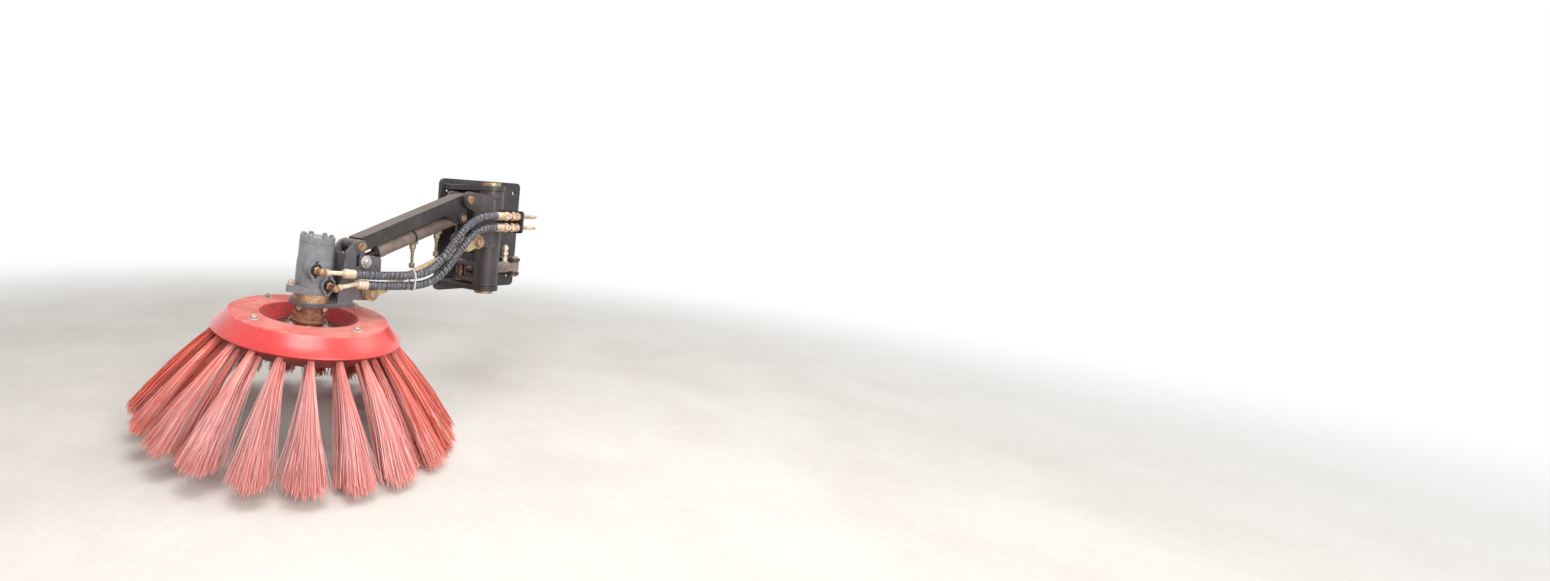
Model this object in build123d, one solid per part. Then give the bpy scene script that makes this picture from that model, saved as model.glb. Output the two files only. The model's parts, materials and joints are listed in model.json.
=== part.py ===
from build123d import *
import math
import os

# Side broom unit of a street sweeper truck, with the arm that carries it.
# X runs to the rear of the truck, Y inboard, Z up, in millimetres.
# The origin is the centre of the chassis plate's bolt pattern, on the face that seats on the chassis rail.

os.makedirs("parts", exist_ok=True)

# Chassis bracket
plate_length = 380
plate_height = 372
plate_thick = 12
plate_corner_r = 18
bolt_spacing_x = 320
bolt_spacing_z = 300
bolt_hole_d = 18
lug_thick = 15
lug_edge = 45
lug_root_length = 150
lug_web_thick = 12
lug_web_low = -55

# Swing axis, seen from above, and the turret's hinge tube
swing_x = -100
swing_y = -150
king_pin_d = 40
king_head_thick = 10
turret_tube_d = 84
turret_height = 300
turret_gap = 1.0
back_plate_thick = 12
rib_thick = 10

# Parallelogram arm: its middle plane, the upper arm's pins, and the lower rod's pins from them
arm_side = 11
turret_reach = 138
upper_pin_z = 120
arm_run = 381
arm_rise = 136
link_drop = 124
link_shift = 26
arm_pin_d = 24
pin_head = 8
running_gap = 0.05
fixed_gap = 0.02
side_gap = 1.0

# Upper arm, a box section with a boss at each end and lug plates for the lift cylinder
box_width = 60
box_height = 38
box_wall = 5
arm_boss_r = 18
arm_lug_thick = 8
arm_lug_r = 17

# Cheek plates of the turret and of the head bracket
cheek_thick = 10
turret_boss_r = 24
head_boss_r = 18
lower_boss_r = 20

# Lower rod and its forged ends
tie_rod_d = 20
rod_end_r = 20
rod_end_width = 22
rod_end_block = 50
tie_side_gap = 3

# Lift cylinder, from the head bracket under the arm's front pin to the lug plates at the arm's rear
lift_eye_run = 17
lift_eye_drop = 41
lift_base_run = 14
lift_base_drop = 56
lift_barrel_d = 36
lift_bore_d = 29
lift_rod_d = 20
lift_pin_d = 20
lift_washer_r = 17
lift_eye_r = 15
lift_eye_width = 34
lift_nose = 60
lift_piston_at = 150
lift_cap_length = 34
lift_eye_play = 0.8
cap_wall = 6
lift_ports = ((200, 92), (294, 90))

# Swing cylinder, inboard of the turret
swing_lug_run = -25
swing_lug_side = 90
swing_anchor_run = 240
swing_anchor_side = 95
swing_anchor_root = 76
swing_lug_clear = 10
swing_barrel_d = 40
swing_bore_d = 32
swing_rod_d = 22
swing_pin_d = 20
swing_eye_r = 19
swing_eye_width = 34
swing_lug_gap = 3
swing_lug_thick = 10
swing_nose = 62
swing_piston_at = 130
swing_cap_length = 36
swing_eye_play = 1.7

# Swing cylinder's ports: a stack of fittings at each of these places, its nuts at heights over the barrel
swing_ports = (157, 216)
stack_base_r = 10
stack_base_height = 14
stack_neck_r = 7
stack_neck_height = 44
stack_nut_across = 19
stack_nut_thick = 12
stack_nuts = (22, 40)

# Brush axis, which leans to the rear and outboard
head_reach = 121
head_drop = 179
lean_rear = 3.0
lean_out = 4.2

# Brush cover and tuft board, radius and height from the cover's top face
cover_well_r = 136
cover_flat_r = 210
cover_lip_r = 250
cover_lip_drop = 43
cover_well_depth = 46
sheet = 4
board_gap = 0.3
board_inner_depth = 62
board_edge_r = 242
board_edge_drop = 49
board_face_r = 196
board_face_drop = 82

# Bristle tufts, set in two rows of sockets in the board's sloping face
tuft_count = 21
tuft_phase = -116
tuft_root = 18
tuft_socket = 14
tuft_socket_gap = 0.2
tuft_neck = 6
tuft_tip_width = 100
tuft_tip_depth = 34
tuft_corner_share = 0.3
# Each row: root radius, root height, tip radius, tip height
tuft_rows = ((230, -55, 430, -276), (208, -71, 384, -290))

# Hub and drive
hub_d = 82
hub_top = 24
hub_flange_d = 132
hub_flange_thick = 14
hub_floor = -43
hub_floor_thick = 6
shaft_d = 32
shaft_in_motor = 20

# Bolts that clamp the cover to the tuft board, and the hub's bolts
cover_bolt_circle_r = 178
cover_bolt_count = 4
cover_bolt_phase = 13
hub_bolt_circle_r = 54
hub_bolt_count = 5

# Head bracket: a round base on the brush axis, heights along that axis, and an upright box open to the rear
base_bottom = 27
base_thick = 10
base_r = 57
base_bore_r = 30
base_tongue = 106
web_run = 84
web_thick = 8
slot_run = 113
slot_height = 142
slot_width = 10
slot_length = 36

# The bracket's cheeks, in the arm's plane from the brush's centre: run, height and corner radius
post_corners = ((62, 32, 8), (94, 32, 8), (83, 160, 8), (106, 184, 8))
neck_corners = ((106, 184, 8), (96, 100, 8))
jaw_corners = ((94, 62, 9), (94, 48, 9), (142, 42, 8))
lobe_corners = ((180, 142, 8), (180, 106, 8), (100, 98, 8))

# Hydraulic motor and its spacer collar
collar_r = 48.5
collar_thick = 22
motor_flange_thick = 18
motor_flange_r = 51
motor_ear_reach = 62
motor_barrel_d = 95
motor_barrel_top = 138
motor_shoulder = 12
motor_body_d = 92
motor_cover_seam = 188
motor_seam_width = 2
motor_seam_depth = 1.5
motor_top = 205

# Motor ports: places across and along the axis, and the bosses that face outboard
port_rows = ((-29, 128), (12, 88))
port_face = 62
port_root = 30
port_boss_r = 20
port_ear_r = 9.5
port_bolt_reach = 18.5
port_bolt_d = 8
port_bolt_depth = 11

# Hoses and their ends
hose_d = 23
tube_d = 14
ferrule_d = 24
ferrule_length = 36
fitting_collar_r = 13
fitting_collar_length = 11
fitting_bend_r = 16
nut_across = 24
swivel_nut = 23
union_hex = 20
union_gap = 5
bulkhead_run = 100
bulkhead_thick = 6
bulkhead_margin = 17
pipe_run = 176
hose_offset = 100
hose_split_run = 254
hose_tie_run = 262
hose_tie_width = 5
hose_tie_thick = 1.6
hose_tie_gap = 0.4

# Hose routes in their plane outboard of the arm: distance to the rear of the brush's centre,
# and height over the cover's top face
hose_routes = {
    "a": (
        (72.4, 113.8), (150, 105.2), (288, 104.4), (330, 117.6), (365, 144.2),
        (399.5, 183.5), (445, 233.5), (483.5, 258.5), (526, 271), (569.5, 271),
    ),
    "b": (
        (112.3, 84.5), (180, 77.3), (298, 75.2), (348.3, 92), (383.5, 117.5),
        (414.5, 150.7), (455, 197), (491, 224), (529.5, 237), (569.5, 237),
    ),
}

# Places worked out from the sizes above
arm_y = swing_y - arm_side
hose_y = swing_y - hose_offset
swing_centre = Vector(swing_x, swing_y, 0)
upper_rear = Vector(swing_x - turret_reach, arm_y, upper_pin_z)
upper_head = upper_rear - Vector(arm_run, 0, arm_rise)
lower_rear = upper_rear + Vector(link_shift, 0, -link_drop)
lower_head = upper_head + Vector(link_shift, 0, -link_drop)
lift_eye = upper_head + Vector(lift_eye_run, 0, -lift_eye_drop)
lift_base = upper_rear - Vector(lift_base_run, 0, lift_base_drop)
clevis_half = swing_eye_width / 2 + swing_lug_gap
swing_cyl_z = swing_lug_clear + swing_lug_thick + clevis_half - turret_height / 2
swing_eye = swing_centre + Vector(swing_lug_run, swing_lug_side, swing_cyl_z)
swing_anchor = swing_centre + Vector(swing_anchor_run, swing_anchor_side, swing_cyl_z)
arm_slope = math.degrees(math.atan2(arm_rise, arm_run))
arm_length = math.hypot(arm_run, arm_rise)
box_half = box_width / 2
cheek_inner = box_half + side_gap
cheek_outer = cheek_inner + cheek_thick
tie_y = arm_y - cheek_outer - tie_side_gap - rod_end_width / 2
ring_centre = Vector(upper_head.X - head_reach, swing_y, upper_head.Z - head_drop)
brush_axis = Vector(math.tan(math.radians(lean_rear)), -math.tan(math.radians(lean_out)), 1).normalized()
brush_side = Vector(brush_axis.Z, 0, -brush_axis.X).normalized()
brush_at = Plane(origin=ring_centre, x_dir=brush_side, z_dir=brush_axis).location
collar_bottom = base_bottom + base_thick
flange_bottom = collar_bottom + collar_thick
flange_top = flange_bottom + motor_flange_thick
hub_seat = hub_floor + hub_floor_thick

up = (Align.CENTER, Align.CENTER, Align.MIN)
written = []


def save(name, shape, color):
    shape.label = name
    shape.color = Color(color)
    export_step(shape, f"parts/{name}.step")
    written.append(name)


def on_ring(run, height):
    """A place in the arm's plane, from the brush's centre."""
    return Vector(ring_centre.X + run, arm_y, ring_centre.Z + height)


def cross(point, low, high, radius):
    """A cylinder along Y through a point, its ends measured from the arm's middle plane."""
    middle = arm_y + (low + high) / 2
    return Pos(point.X, middle, point.Z) * Rot(90, 0, 0) * Cylinder(radius, high - low)


def stepped_pin(point, *steps):
    """A turned pin along Y; each step is its two ends from the arm's middle plane, and its radius."""
    pin = cross(point, *steps[0])
    for step in steps[1:]:
        pin += cross(point, *step)
    return pin


def side_plate(outline, low, high):
    """A plate standing in the arm's plane, its faces measured from the arm's middle plane."""
    plane = Plane(origin=(0, arm_y + low, 0), x_dir=(1, 0, 0), z_dir=(0, -1, 0))
    return extrude(plane * outline, low - high)


def discs(*places):
    """The outline stretched round circles given as point and radius, in X and Z."""
    edges = []
    for point, radius in places:
        edges += (Pos(point.X, point.Z) * Circle(radius)).edges()
    return make_hull(edges)


def flat_outline(*shapes):
    """The outline stretched round flat shapes, seen along the axis they lie across."""
    edges = []
    for shape in shapes:
        edges += shape.edges()
    return make_hull(edges)


def bar(start, length, radius):
    """A round bar along X."""
    return Pos(start, 0, 0) * Rot(0, 90, 0) * Cylinder(radius, length, align=up)


def hex_bar(start, length, across):
    """A hexagon bar along X."""
    outline = Plane(origin=(start, 0, 0), x_dir=(0, 1, 0), z_dir=(1, 0, 0))
    return extrude(outline * RegularPolygon(across / 2, 6, major_radius=False), length)


def upright_pin(point):
    """A pin standing in the swing cylinder's clevis, with a head and a washer."""
    half = clevis_half + swing_lug_thick
    pin = Cylinder(swing_pin_d / 2, 2 * half)
    for low in (half, -half - 6):
        pin += Pos(0, 0, low) * Cylinder(swing_pin_d / 2 + 5, 6, align=up)
    return Pos(point.X, point.Y, point.Z) * pin


# Chassis bracket: plate, two hinge lugs with a web between them, and the swing cylinder's anchor lugs
lug_inner = turret_height / 2 + turret_gap
plate = Pos(0, -plate_thick / 2, 0) * Box(plate_length, plate_thick, plate_height)
plate = fillet(plate.edges().filter_by(Axis.Y), plate_corner_r)
lug_foot = Pos(swing_x, -plate_thick - 4) * Rectangle(lug_root_length, 8)
lug_outline = flat_outline(Pos(swing_x, swing_y) * Circle(lug_edge), lug_foot)
bracket = plate
for low in (lug_inner, -lug_inner - lug_thick):
    bracket += extrude(Pos(0, 0, low) * lug_outline, lug_thick)
web_reach = -swing_y - turret_tube_d / 2 - 12
web_height = lug_inner - lug_web_low
web_middle = (lug_inner + lug_web_low) / 2
bracket += Pos(swing_x, -web_reach / 2, web_middle) * Box(lug_web_thick, web_reach, web_height)
anchor_foot = Pos(swing_anchor.X, -plate_thick - 3) * Rectangle(swing_anchor_root, 6)
anchor_outline = flat_outline(Pos(swing_anchor.X, swing_anchor.Y) * Circle(swing_eye_r + 3), anchor_foot)
for low in (swing_cyl_z + clevis_half, swing_cyl_z - clevis_half - swing_lug_thick):
    bracket += extrude(Pos(0, 0, low) * anchor_outline, swing_lug_thick)
bracket -= Pos(swing_x, swing_y, 0) * Cylinder(king_pin_d / 2 + fixed_gap, plate_height)
anchor_bore = Cylinder(swing_pin_d / 2 + fixed_gap, 2 * clevis_half + 4 * swing_lug_thick)
bracket -= Pos(swing_anchor.X, swing_anchor.Y, swing_cyl_z) * anchor_bore
for x in (-bolt_spacing_x / 2, bolt_spacing_x / 2):
    for z in (-bolt_spacing_z / 2, bolt_spacing_z / 2):
        bracket -= Pos(x, -plate_thick / 2, z) * Rot(90, 0, 0) * Cylinder(bolt_hole_d / 2, plate_thick + 2)
save("chassis_bracket", bracket, "dimgray")

# King pin, with a head above the upper lug and a retaining washer below the lower one
pin_top = lug_inner + lug_thick
king_pin = Pos(swing_x, swing_y, 0) * Cylinder(king_pin_d / 2, 2 * pin_top)
for low in (pin_top, -pin_top - king_head_thick):
    king_pin += Pos(swing_x, swing_y, low) * Cylinder(king_pin_d / 2 + 10, king_head_thick, align=up)
save("king_pin", king_pin, "goldenrod")
save("swing_anchor_pin", upright_pin(swing_anchor), "goldenrod")
save("swing_front_pin", upright_pin(swing_eye), "goldenrod")

# Turret: hinge tube, back plate with two ribs, two cheeks open in front of the lift cylinder, swing lugs
back_x = swing_x - turret_tube_d / 2 - back_plate_thick / 6
back_low = lower_rear.Z - lower_boss_r
back_high = upper_rear.Z + 18
turret = Pos(swing_x, swing_y, 0) * Cylinder(turret_tube_d / 2, turret_height)
turret += Pos(back_x, arm_y, (back_low + back_high) / 2) * Box(
    back_plate_thick, 2 * cheek_outer, back_high - back_low
)
weld_r = turret_tube_d / 2 - 2
rib_root = Pos(back_x, arm_y) * Rectangle(back_plate_thick, 2 * cheek_outer)
rib = flat_outline(Pos(swing_x, swing_y) * Circle(weld_r), rib_root)
for low in (back_low, back_high - rib_thick):
    turret += extrude(Pos(0, 0, low) * rib, rib_thick)
root_r = back_plate_thick / 4
throat = upper_rear.X + turret_boss_r
waist = (upper_rear.Z + lower_rear.Z) / 2
cheek = discs(
    (upper_rear, turret_boss_r),
    (Vector(back_x, 0, back_high - 2 * root_r), root_r),
    (Vector(back_x, 0, waist), root_r),
)
cheek += discs(
    (lower_rear, lower_boss_r),
    (Vector(back_x, 0, back_low + 2 * root_r), root_r),
    (Vector(back_x, 0, waist), root_r),
)
cheek += Pos((throat + back_x) / 2, waist) * Rectangle(back_x - throat, link_drop - 1.5 * lower_boss_r)
for side in (-1, 1):
    turret += side_plate(cheek, *sorted((side * cheek_inner, side * cheek_outer)))
swing_lug = flat_outline(
    Pos(swing_x, swing_y) * Circle(weld_r),
    Pos(swing_eye.X, swing_eye.Y) * Circle(swing_eye_r + 3),
)
for low in (swing_cyl_z + clevis_half, swing_cyl_z - clevis_half - swing_lug_thick):
    turret += extrude(Pos(0, 0, low) * swing_lug, swing_lug_thick)
turret -= Pos(swing_x, swing_y, 0) * Cylinder(king_pin_d / 2 + running_gap, turret_height + 2)
turret -= Pos(swing_eye.X, swing_eye.Y, swing_cyl_z) * anchor_bore
for point in (upper_rear, lower_rear):
    turret -= cross(point, -cheek_outer - 1, cheek_outer + 1, arm_pin_d / 2 + fixed_gap)
save("turret", turret, "slategray")

# Hose bulkhead: a plate welded to the hinge tube's outboard side
ferrule_start = ring_centre.X + hose_routes["a"][-1][0]
hose_rear_z = [ring_centre.Z + hose_routes[letter][-1][1] for letter in "ab"]
bulkhead_x = ferrule_start + bulkhead_run
bulkhead_low = hose_rear_z[1] - bulkhead_margin
bulkhead_high = hose_rear_z[0] + bulkhead_margin
bulkhead_outer = hose_y - bulkhead_margin
bulkhead_inner = swing_y - turret_tube_d / 6
bulkhead_middle = (bulkhead_outer + bulkhead_inner) / 2
bulkhead = Pos(bulkhead_x, bulkhead_middle, (bulkhead_low + bulkhead_high) / 2) * Box(
    bulkhead_thick, bulkhead_inner - bulkhead_outer, bulkhead_high - bulkhead_low
)
bulkhead -= Pos(swing_x, swing_y, 0) * Cylinder(turret_tube_d / 2, turret_height)
bulkhead = fillet(bulkhead.edges().filter_by(Axis.X).group_by(Axis.Y)[0], bulkhead_margin / 2)
for z in hose_rear_z:
    bulkhead -= Pos(0, hose_y, z) * bar(bulkhead_x - bulkhead_thick, 2 * bulkhead_thick, tube_d / 2 + 2)
save("hose_bulkhead", bulkhead, "dimgray")

# Hose ends at the bulkhead: ferrule, swivel nut, union, and the pipe through the plate to the truck
for letter, z in zip("ab", hose_rear_z):
    nut_start = ferrule_start + ferrule_length
    union_start = nut_start + swivel_nut + union_gap
    end = bar(ferrule_start, ferrule_length, ferrule_d / 2)
    end += hex_bar(nut_start, swivel_nut, nut_across)
    end += bar(nut_start + swivel_nut, union_gap, tube_d / 2 + 2)
    end += hex_bar(union_start, union_hex, nut_across)
    end += bar(union_start + union_hex, bulkhead_x + bulkhead_thick - union_start - union_hex, tube_d / 2 + 2)
    end += bar(ferrule_start + ferrule_length, pipe_run - ferrule_length, tube_d / 2 - 0.5)
    save(f"hose_union_{letter}", Pos(0, hose_y, z) * end, "khaki")

# Upper arm: box tube between two bosses, with lug plates under its rear end for the lift cylinder
arm_mid = (upper_head + upper_rear) * 0.5
arm_at = Pos(arm_mid.X, arm_y, arm_mid.Z) * Rot(0, -arm_slope, 0)
box_length = arm_length - 2 * arm_boss_r + 12
box_inside = Box(box_length + 2, box_width - 2 * box_wall, box_height - 2 * box_wall)
arm = arm_at * (Box(box_length, box_width, box_height) - box_inside)
along = (upper_rear - upper_head).normalized()
lug_plate = discs(
    (lift_base, arm_lug_r),
    (upper_rear - along * 22, box_height / 2),
    (upper_rear - along * 92, box_height / 2),
)
for side in (-1, 1):
    arm += side_plate(lug_plate, *sorted((side * (box_half - arm_lug_thick), side * box_half)))
for point in (upper_head, upper_rear):
    arm += cross(point, -box_half, box_half, arm_boss_r)
for point in (upper_head, upper_rear):
    arm -= cross(point, -cheek_inner, cheek_inner, arm_pin_d / 2 + running_gap)
arm -= cross(lift_base, -cheek_inner, cheek_inner, lift_pin_d / 2 + fixed_gap)
save("upper_arm", arm, "darkslategray")

# Lower rod: a round bar with a forged eye at each end
tie_mid = (lower_head + lower_rear) * 0.5
tie_at = Pos(tie_mid.X, tie_y, tie_mid.Z) * Rot(0, -arm_slope, 0)
tie_low, tie_high = (tie_y - arm_y + side * rod_end_width / 2 for side in (-1, 1))
tie = tie_at * bar(rod_end_r - arm_length / 2, arm_length - 2 * rod_end_r, tie_rod_d / 2)
for side in (-1, 1):
    block_at = side * (arm_length - rod_end_block) / 2
    tie += tie_at * Pos(block_at, 0, 0) * Box(rod_end_block, rod_end_width, rod_end_width + 4)
for point in (lower_head, lower_rear):
    tie += cross(point, tie_low, tie_high, rod_end_r)
for point in (lower_head, lower_rear):
    tie -= cross(point, tie_low - rod_end_width, tie_high + 1, arm_pin_d / 2 + running_gap)
save("tie_rod", tie, "khaki")

# Pins of the arm and of the lower rod, in the turret's cheeks and in the head bracket's
pin_r = arm_pin_d / 2
through = (-cheek_outer, cheek_outer, pin_r)
outer_head = (-cheek_outer - pin_head, -cheek_outer, pin_r + 1)
inner_head = (cheek_outer, cheek_outer + pin_head, pin_r + 3)
save("arm_pin_rear", stepped_pin(upper_rear, through, outer_head, inner_head), "goldenrod")
save("arm_pin_head", stepped_pin(upper_head, through, outer_head, inner_head), "goldenrod")
tie_shank = (tie_low - 1, cheek_outer, pin_r)
tie_washer = (-cheek_outer - tie_side_gap + 1, -cheek_outer, pin_r + 4)
tie_head = (tie_low - pin_head, tie_low - 1, pin_r + 3)
save("tie_pin_rear", stepped_pin(lower_rear, tie_shank, tie_washer, tie_head, inner_head), "goldenrod")
save("tie_pin_head", stepped_pin(lower_head, tie_shank, tie_washer, tie_head, inner_head), "goldenrod")

# Lift cylinder's pins: the front one in the head bracket with a sleeve on each side of the rod's eye
lift_r = lift_pin_d / 2
eye_half = lift_eye_width / 2
save("lift_pin_head", stepped_pin(
    lift_eye,
    (-cheek_outer, cheek_outer, lift_r),
    (-cheek_inner, -eye_half - 0.5, lift_r + 4),
    (eye_half + 0.5, cheek_inner, lift_r + 4),
    (-cheek_outer - 4, -cheek_outer, lift_washer_r),
    (-cheek_outer - 11, -cheek_outer - 4, lift_r + 2),
    (cheek_outer, cheek_outer + pin_head, lift_r + 4),
), "silver")
save("lift_pin_rear", stepped_pin(
    lift_base,
    (-box_half, box_half, lift_r),
    (-box_half - 4, -box_half, lift_washer_r),
    (-box_half - 8, -box_half - 4, lift_r),
    (box_half, box_half + 6, lift_r + 4),
), "goldenrod")

# Lift cylinder: barrel with end cap and base eye, rod with its eye
lift_run = lift_base - lift_eye
lift_length = lift_run.length
lift_slope = math.degrees(math.atan2(lift_run.Z, lift_run.X))
lift_at = Pos(lift_eye.X, arm_y, lift_eye.Z) * Rot(0, -lift_slope, 0)
base_eye_width = 2 * (box_half - arm_lug_thick - side_gap)
cap_start = lift_length - lift_cap_length
bore_end = cap_start - cap_wall
barrel = bar(lift_nose, cap_start - lift_nose, lift_barrel_d / 2)
barrel += bar(lift_nose, 26, lift_barrel_d / 2 + 0.8)
barrel += bar(cap_start - 14, 16, lift_barrel_d / 2 + 0.8)
barrel += Pos(lift_length - 22, 0, 0) * Box(28, base_eye_width - 6, lift_barrel_d - 8)
barrel += Pos(lift_length, 0, 0) * Rot(90, 0, 0) * Cylinder(lift_eye_r + 1, base_eye_width)
barrel -= Pos(lift_length, 0, 0) * Rot(90, 0, 0) * Cylinder(lift_r + running_gap, base_eye_width + 2)
barrel -= bar(lift_nose + 26, bore_end - lift_nose - 26, lift_bore_d / 2)
barrel -= bar(lift_nose - 1, 28, lift_rod_d / 2 + running_gap)
save("lift_barrel", lift_at * barrel, "rosybrown")

rod = bar(lift_eye_r - 3, lift_piston_at - lift_eye_r + 3, lift_rod_d / 2)
rod += bar(lift_piston_at, 24, lift_bore_d / 2 - running_gap)
rod += Rot(90, 0, 0) * Cylinder(lift_eye_r, lift_eye_width)
rod -= Rot(90, 0, 0) * Cylinder(lift_r + lift_eye_play, lift_eye_width + 2)
save("lift_rod", lift_at * rod, "dimgray")

# Lift cylinder's ports: a fitting at each end of the barrel, and a pipe that drops from it to a nut
ports = []
for run, drop in lift_ports:
    foot = (lift_at * Pos(run, 0, 0)).position
    port = Pos(0, 0, -lift_barrel_d / 2 - 20) * Cylinder(8, 30, align=up)
    port += Pos(0, 0, -drop + 4) * Cylinder(5, drop - lift_barrel_d / 2 - 20, align=up)
    port += extrude(Pos(0, 0, -drop) * RegularPolygon(8, 6, major_radius=False), 14)
    ports.append(Pos(foot.X, arm_y, foot.Z) * port - lift_at * bar(lift_nose, cap_start, lift_barrel_d / 2))
save("lift_ports", Compound(children=ports), "khaki")

# Swing cylinder, in the same build
swing_run = swing_anchor - swing_eye
swing_length = swing_run.length
swing_turn = math.degrees(math.atan2(swing_run.Y, swing_run.X))
swing_at = Pos(swing_eye.X, swing_eye.Y, swing_eye.Z) * Rot(0, 0, swing_turn)
swing_r = swing_pin_d / 2
cap_start = swing_length - swing_cap_length
bore_end = cap_start - cap_wall
barrel = bar(swing_nose, cap_start - swing_nose, swing_barrel_d / 2)
barrel += bar(swing_nose, 24, swing_barrel_d / 2 + 1.5)
barrel += Pos(swing_length - 24, 0, 0) * Box(30, swing_barrel_d - 8, swing_eye_width - 6)
barrel += Pos(swing_length, 0, 0) * Cylinder(swing_eye_r, swing_eye_width)
barrel -= Pos(swing_length, 0, 0) * Cylinder(swing_r + running_gap, swing_eye_width + 2)
barrel -= bar(swing_nose + 24, bore_end - swing_nose - 24, swing_bore_d / 2)
barrel -= bar(swing_nose - 1, 26, swing_rod_d / 2 + running_gap)
save("swing_barrel", swing_at * barrel, "tan")

rod = bar(swing_eye_r - 4, swing_piston_at - swing_eye_r + 4, swing_rod_d / 2)
rod += bar(swing_piston_at, 20, swing_bore_d / 2 - running_gap)
rod += Cylinder(swing_eye_r, swing_eye_width)
rod -= Cylinder(swing_r + swing_eye_play, swing_eye_width + 2)
save("swing_rod", swing_at * rod, "silver")

# Swing cylinder's ports: a stack of fittings that stands on each end of the barrel
ports = []
barrel_top = swing_barrel_d / 2
for run in swing_ports:
    port = Cylinder(stack_base_r, barrel_top + stack_base_height, align=up)
    port += Cylinder(stack_neck_r, barrel_top + stack_base_height + stack_neck_height, align=up)
    for height in stack_nuts:
        nut = RegularPolygon(stack_nut_across / 2, 6, major_radius=False)
        port += extrude(Pos(0, 0, barrel_top + height) * nut, stack_nut_thick)
    ports.append(swing_at * (Pos(run, 0, 0) * port - bar(swing_nose, swing_length, barrel_top)))
save("swing_ports", Compound(children=ports), "darkkhaki")

# Head bracket: base with a tongue, front web, two cheeks that hold the arm, cylinder and lower rod
tongue_end = Pos(base_tongue - 5, -arm_side) * Rectangle(10, 2 * cheek_outer)
base = extrude(flat_outline(Circle(base_r), tongue_end), base_thick)
base -= Cylinder(base_bore_r, base_thick, align=up)
bracket = brush_at * Pos(0, 0, base_bottom) * base
cheek = discs(*((on_ring(run, height), r) for run, height, r in post_corners))
cheek += discs((upper_head, head_boss_r), *((on_ring(run, height), r) for run, height, r in neck_corners))
cheek += discs((lower_head, lower_boss_r), *((on_ring(run, height), r) for run, height, r in jaw_corners))
cheek += discs((lift_eye, head_boss_r), *((on_ring(run, height), r) for run, height, r in lobe_corners))
slot = on_ring(slot_run, slot_height)
cheek -= Pos(slot.X, slot.Z) * SlotOverall(slot_length, slot_width, rotation=90)
for side in (-1, 1):
    bracket += side_plate(cheek, *sorted((side * cheek_inner, side * cheek_outer)))
foot = post_corners[0][1] - post_corners[0][2]
web_top = post_corners[2][1]
web = on_ring(web_run + web_thick / 2, (foot + web_top) / 2)
bracket += Pos(web.X, arm_y, web.Z) * Box(web_thick, 2 * cheek_inner + 2, web_top - foot)
for point, diameter in ((upper_head, arm_pin_d), (lift_eye, lift_pin_d), (lower_head, arm_pin_d)):
    bracket -= cross(point, -cheek_outer - 1, cheek_outer + 1, diameter / 2 + fixed_gap)
save("head_bracket", bracket, "thistle")

# Spacer collar between the bracket and the motor
collar = Cylinder(collar_r, collar_thick, align=up) - Cylinder(base_bore_r, collar_thick, align=up)
save("spacer_collar", brush_at * Pos(0, 0, collar_bottom) * collar, "goldenrod")

# Hydraulic motor: eared flange, cast barrel with two port bosses that face outboard, body and end cover
ears = flat_outline(
    Circle(motor_flange_r),
    Pos(-motor_ear_reach, 0) * Circle(12),
    Pos(motor_ear_reach - 4, 0) * Circle(10),
)
motor = extrude(Pos(0, 0, flange_bottom) * ears, motor_flange_thick)
barrel_r = motor_barrel_d / 2
body_r = motor_body_d / 2
cover_start = motor_cover_seam + motor_seam_width
motor += Pos(0, 0, flange_top) * Cylinder(barrel_r, motor_barrel_top - flange_top, align=up)
motor += Pos(0, 0, motor_barrel_top) * Cone(barrel_r, body_r, motor_shoulder, align=up)
motor += Pos(0, 0, motor_barrel_top) * Cylinder(body_r, motor_cover_seam - motor_barrel_top, align=up)
motor += Pos(0, 0, motor_cover_seam) * Cylinder(body_r - motor_seam_depth, motor_seam_width, align=up)
motor += Pos(0, 0, cover_start) * Cylinder(body_r, motor_top - cover_start, align=up)
for x, t in port_rows:
    boss = flat_outline(
        Pos(x, t) * Circle(port_boss_r),
        Pos(x, t + port_bolt_reach) * Circle(port_ear_r),
        Pos(x, t - port_bolt_reach) * Circle(port_ear_r),
    )
    boss_plane = Plane(origin=(0, -port_root, 0), x_dir=(1, 0, 0), z_dir=(0, -1, 0))
    motor += extrude(boss_plane * boss, port_face - port_root)
    for side in (-1, 1):
        hole_at = Plane(origin=(x, -port_face, t + side * port_bolt_reach), z_dir=(0, 1, 0)).location
        motor -= hole_at * Cylinder(port_bolt_d / 2, port_bolt_depth, align=up)
motor -= Pos(0, 0, flange_bottom) * Cylinder(shaft_d / 2 + running_gap, shaft_in_motor + 1, align=up)
save("hydraulic_motor", brush_at * motor, "lightsteelblue")

# Brush drive: shaft, hub and the hub plate welded into the cover's well
shaft_length = flange_bottom + shaft_in_motor - hub_floor
shaft = Pos(0, 0, hub_floor) * Cylinder(shaft_d / 2, shaft_length, align=up)
save("drive_shaft", brush_at * shaft, "silver")
hub = Pos(0, 0, hub_seat) * Cylinder(hub_d / 2, hub_top - hub_seat, align=up)
hub += Pos(0, 0, hub_seat) * Cylinder(hub_flange_d / 2, hub_flange_thick, align=up)
hub -= Pos(0, 0, hub_seat) * Cylinder(shaft_d / 2 + fixed_gap, hub_top - hub_seat, align=up)
save("drive_hub", brush_at * hub, "saddlebrown")
floor = Pos(0, 0, hub_floor) * Cylinder(cover_well_r - sheet, hub_floor_thick, align=up)
floor -= Pos(0, 0, hub_floor) * Cylinder(shaft_d / 2 + fixed_gap, hub_floor_thick, align=up)
save("hub_plate", brush_at * floor, "dimgray")

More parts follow.
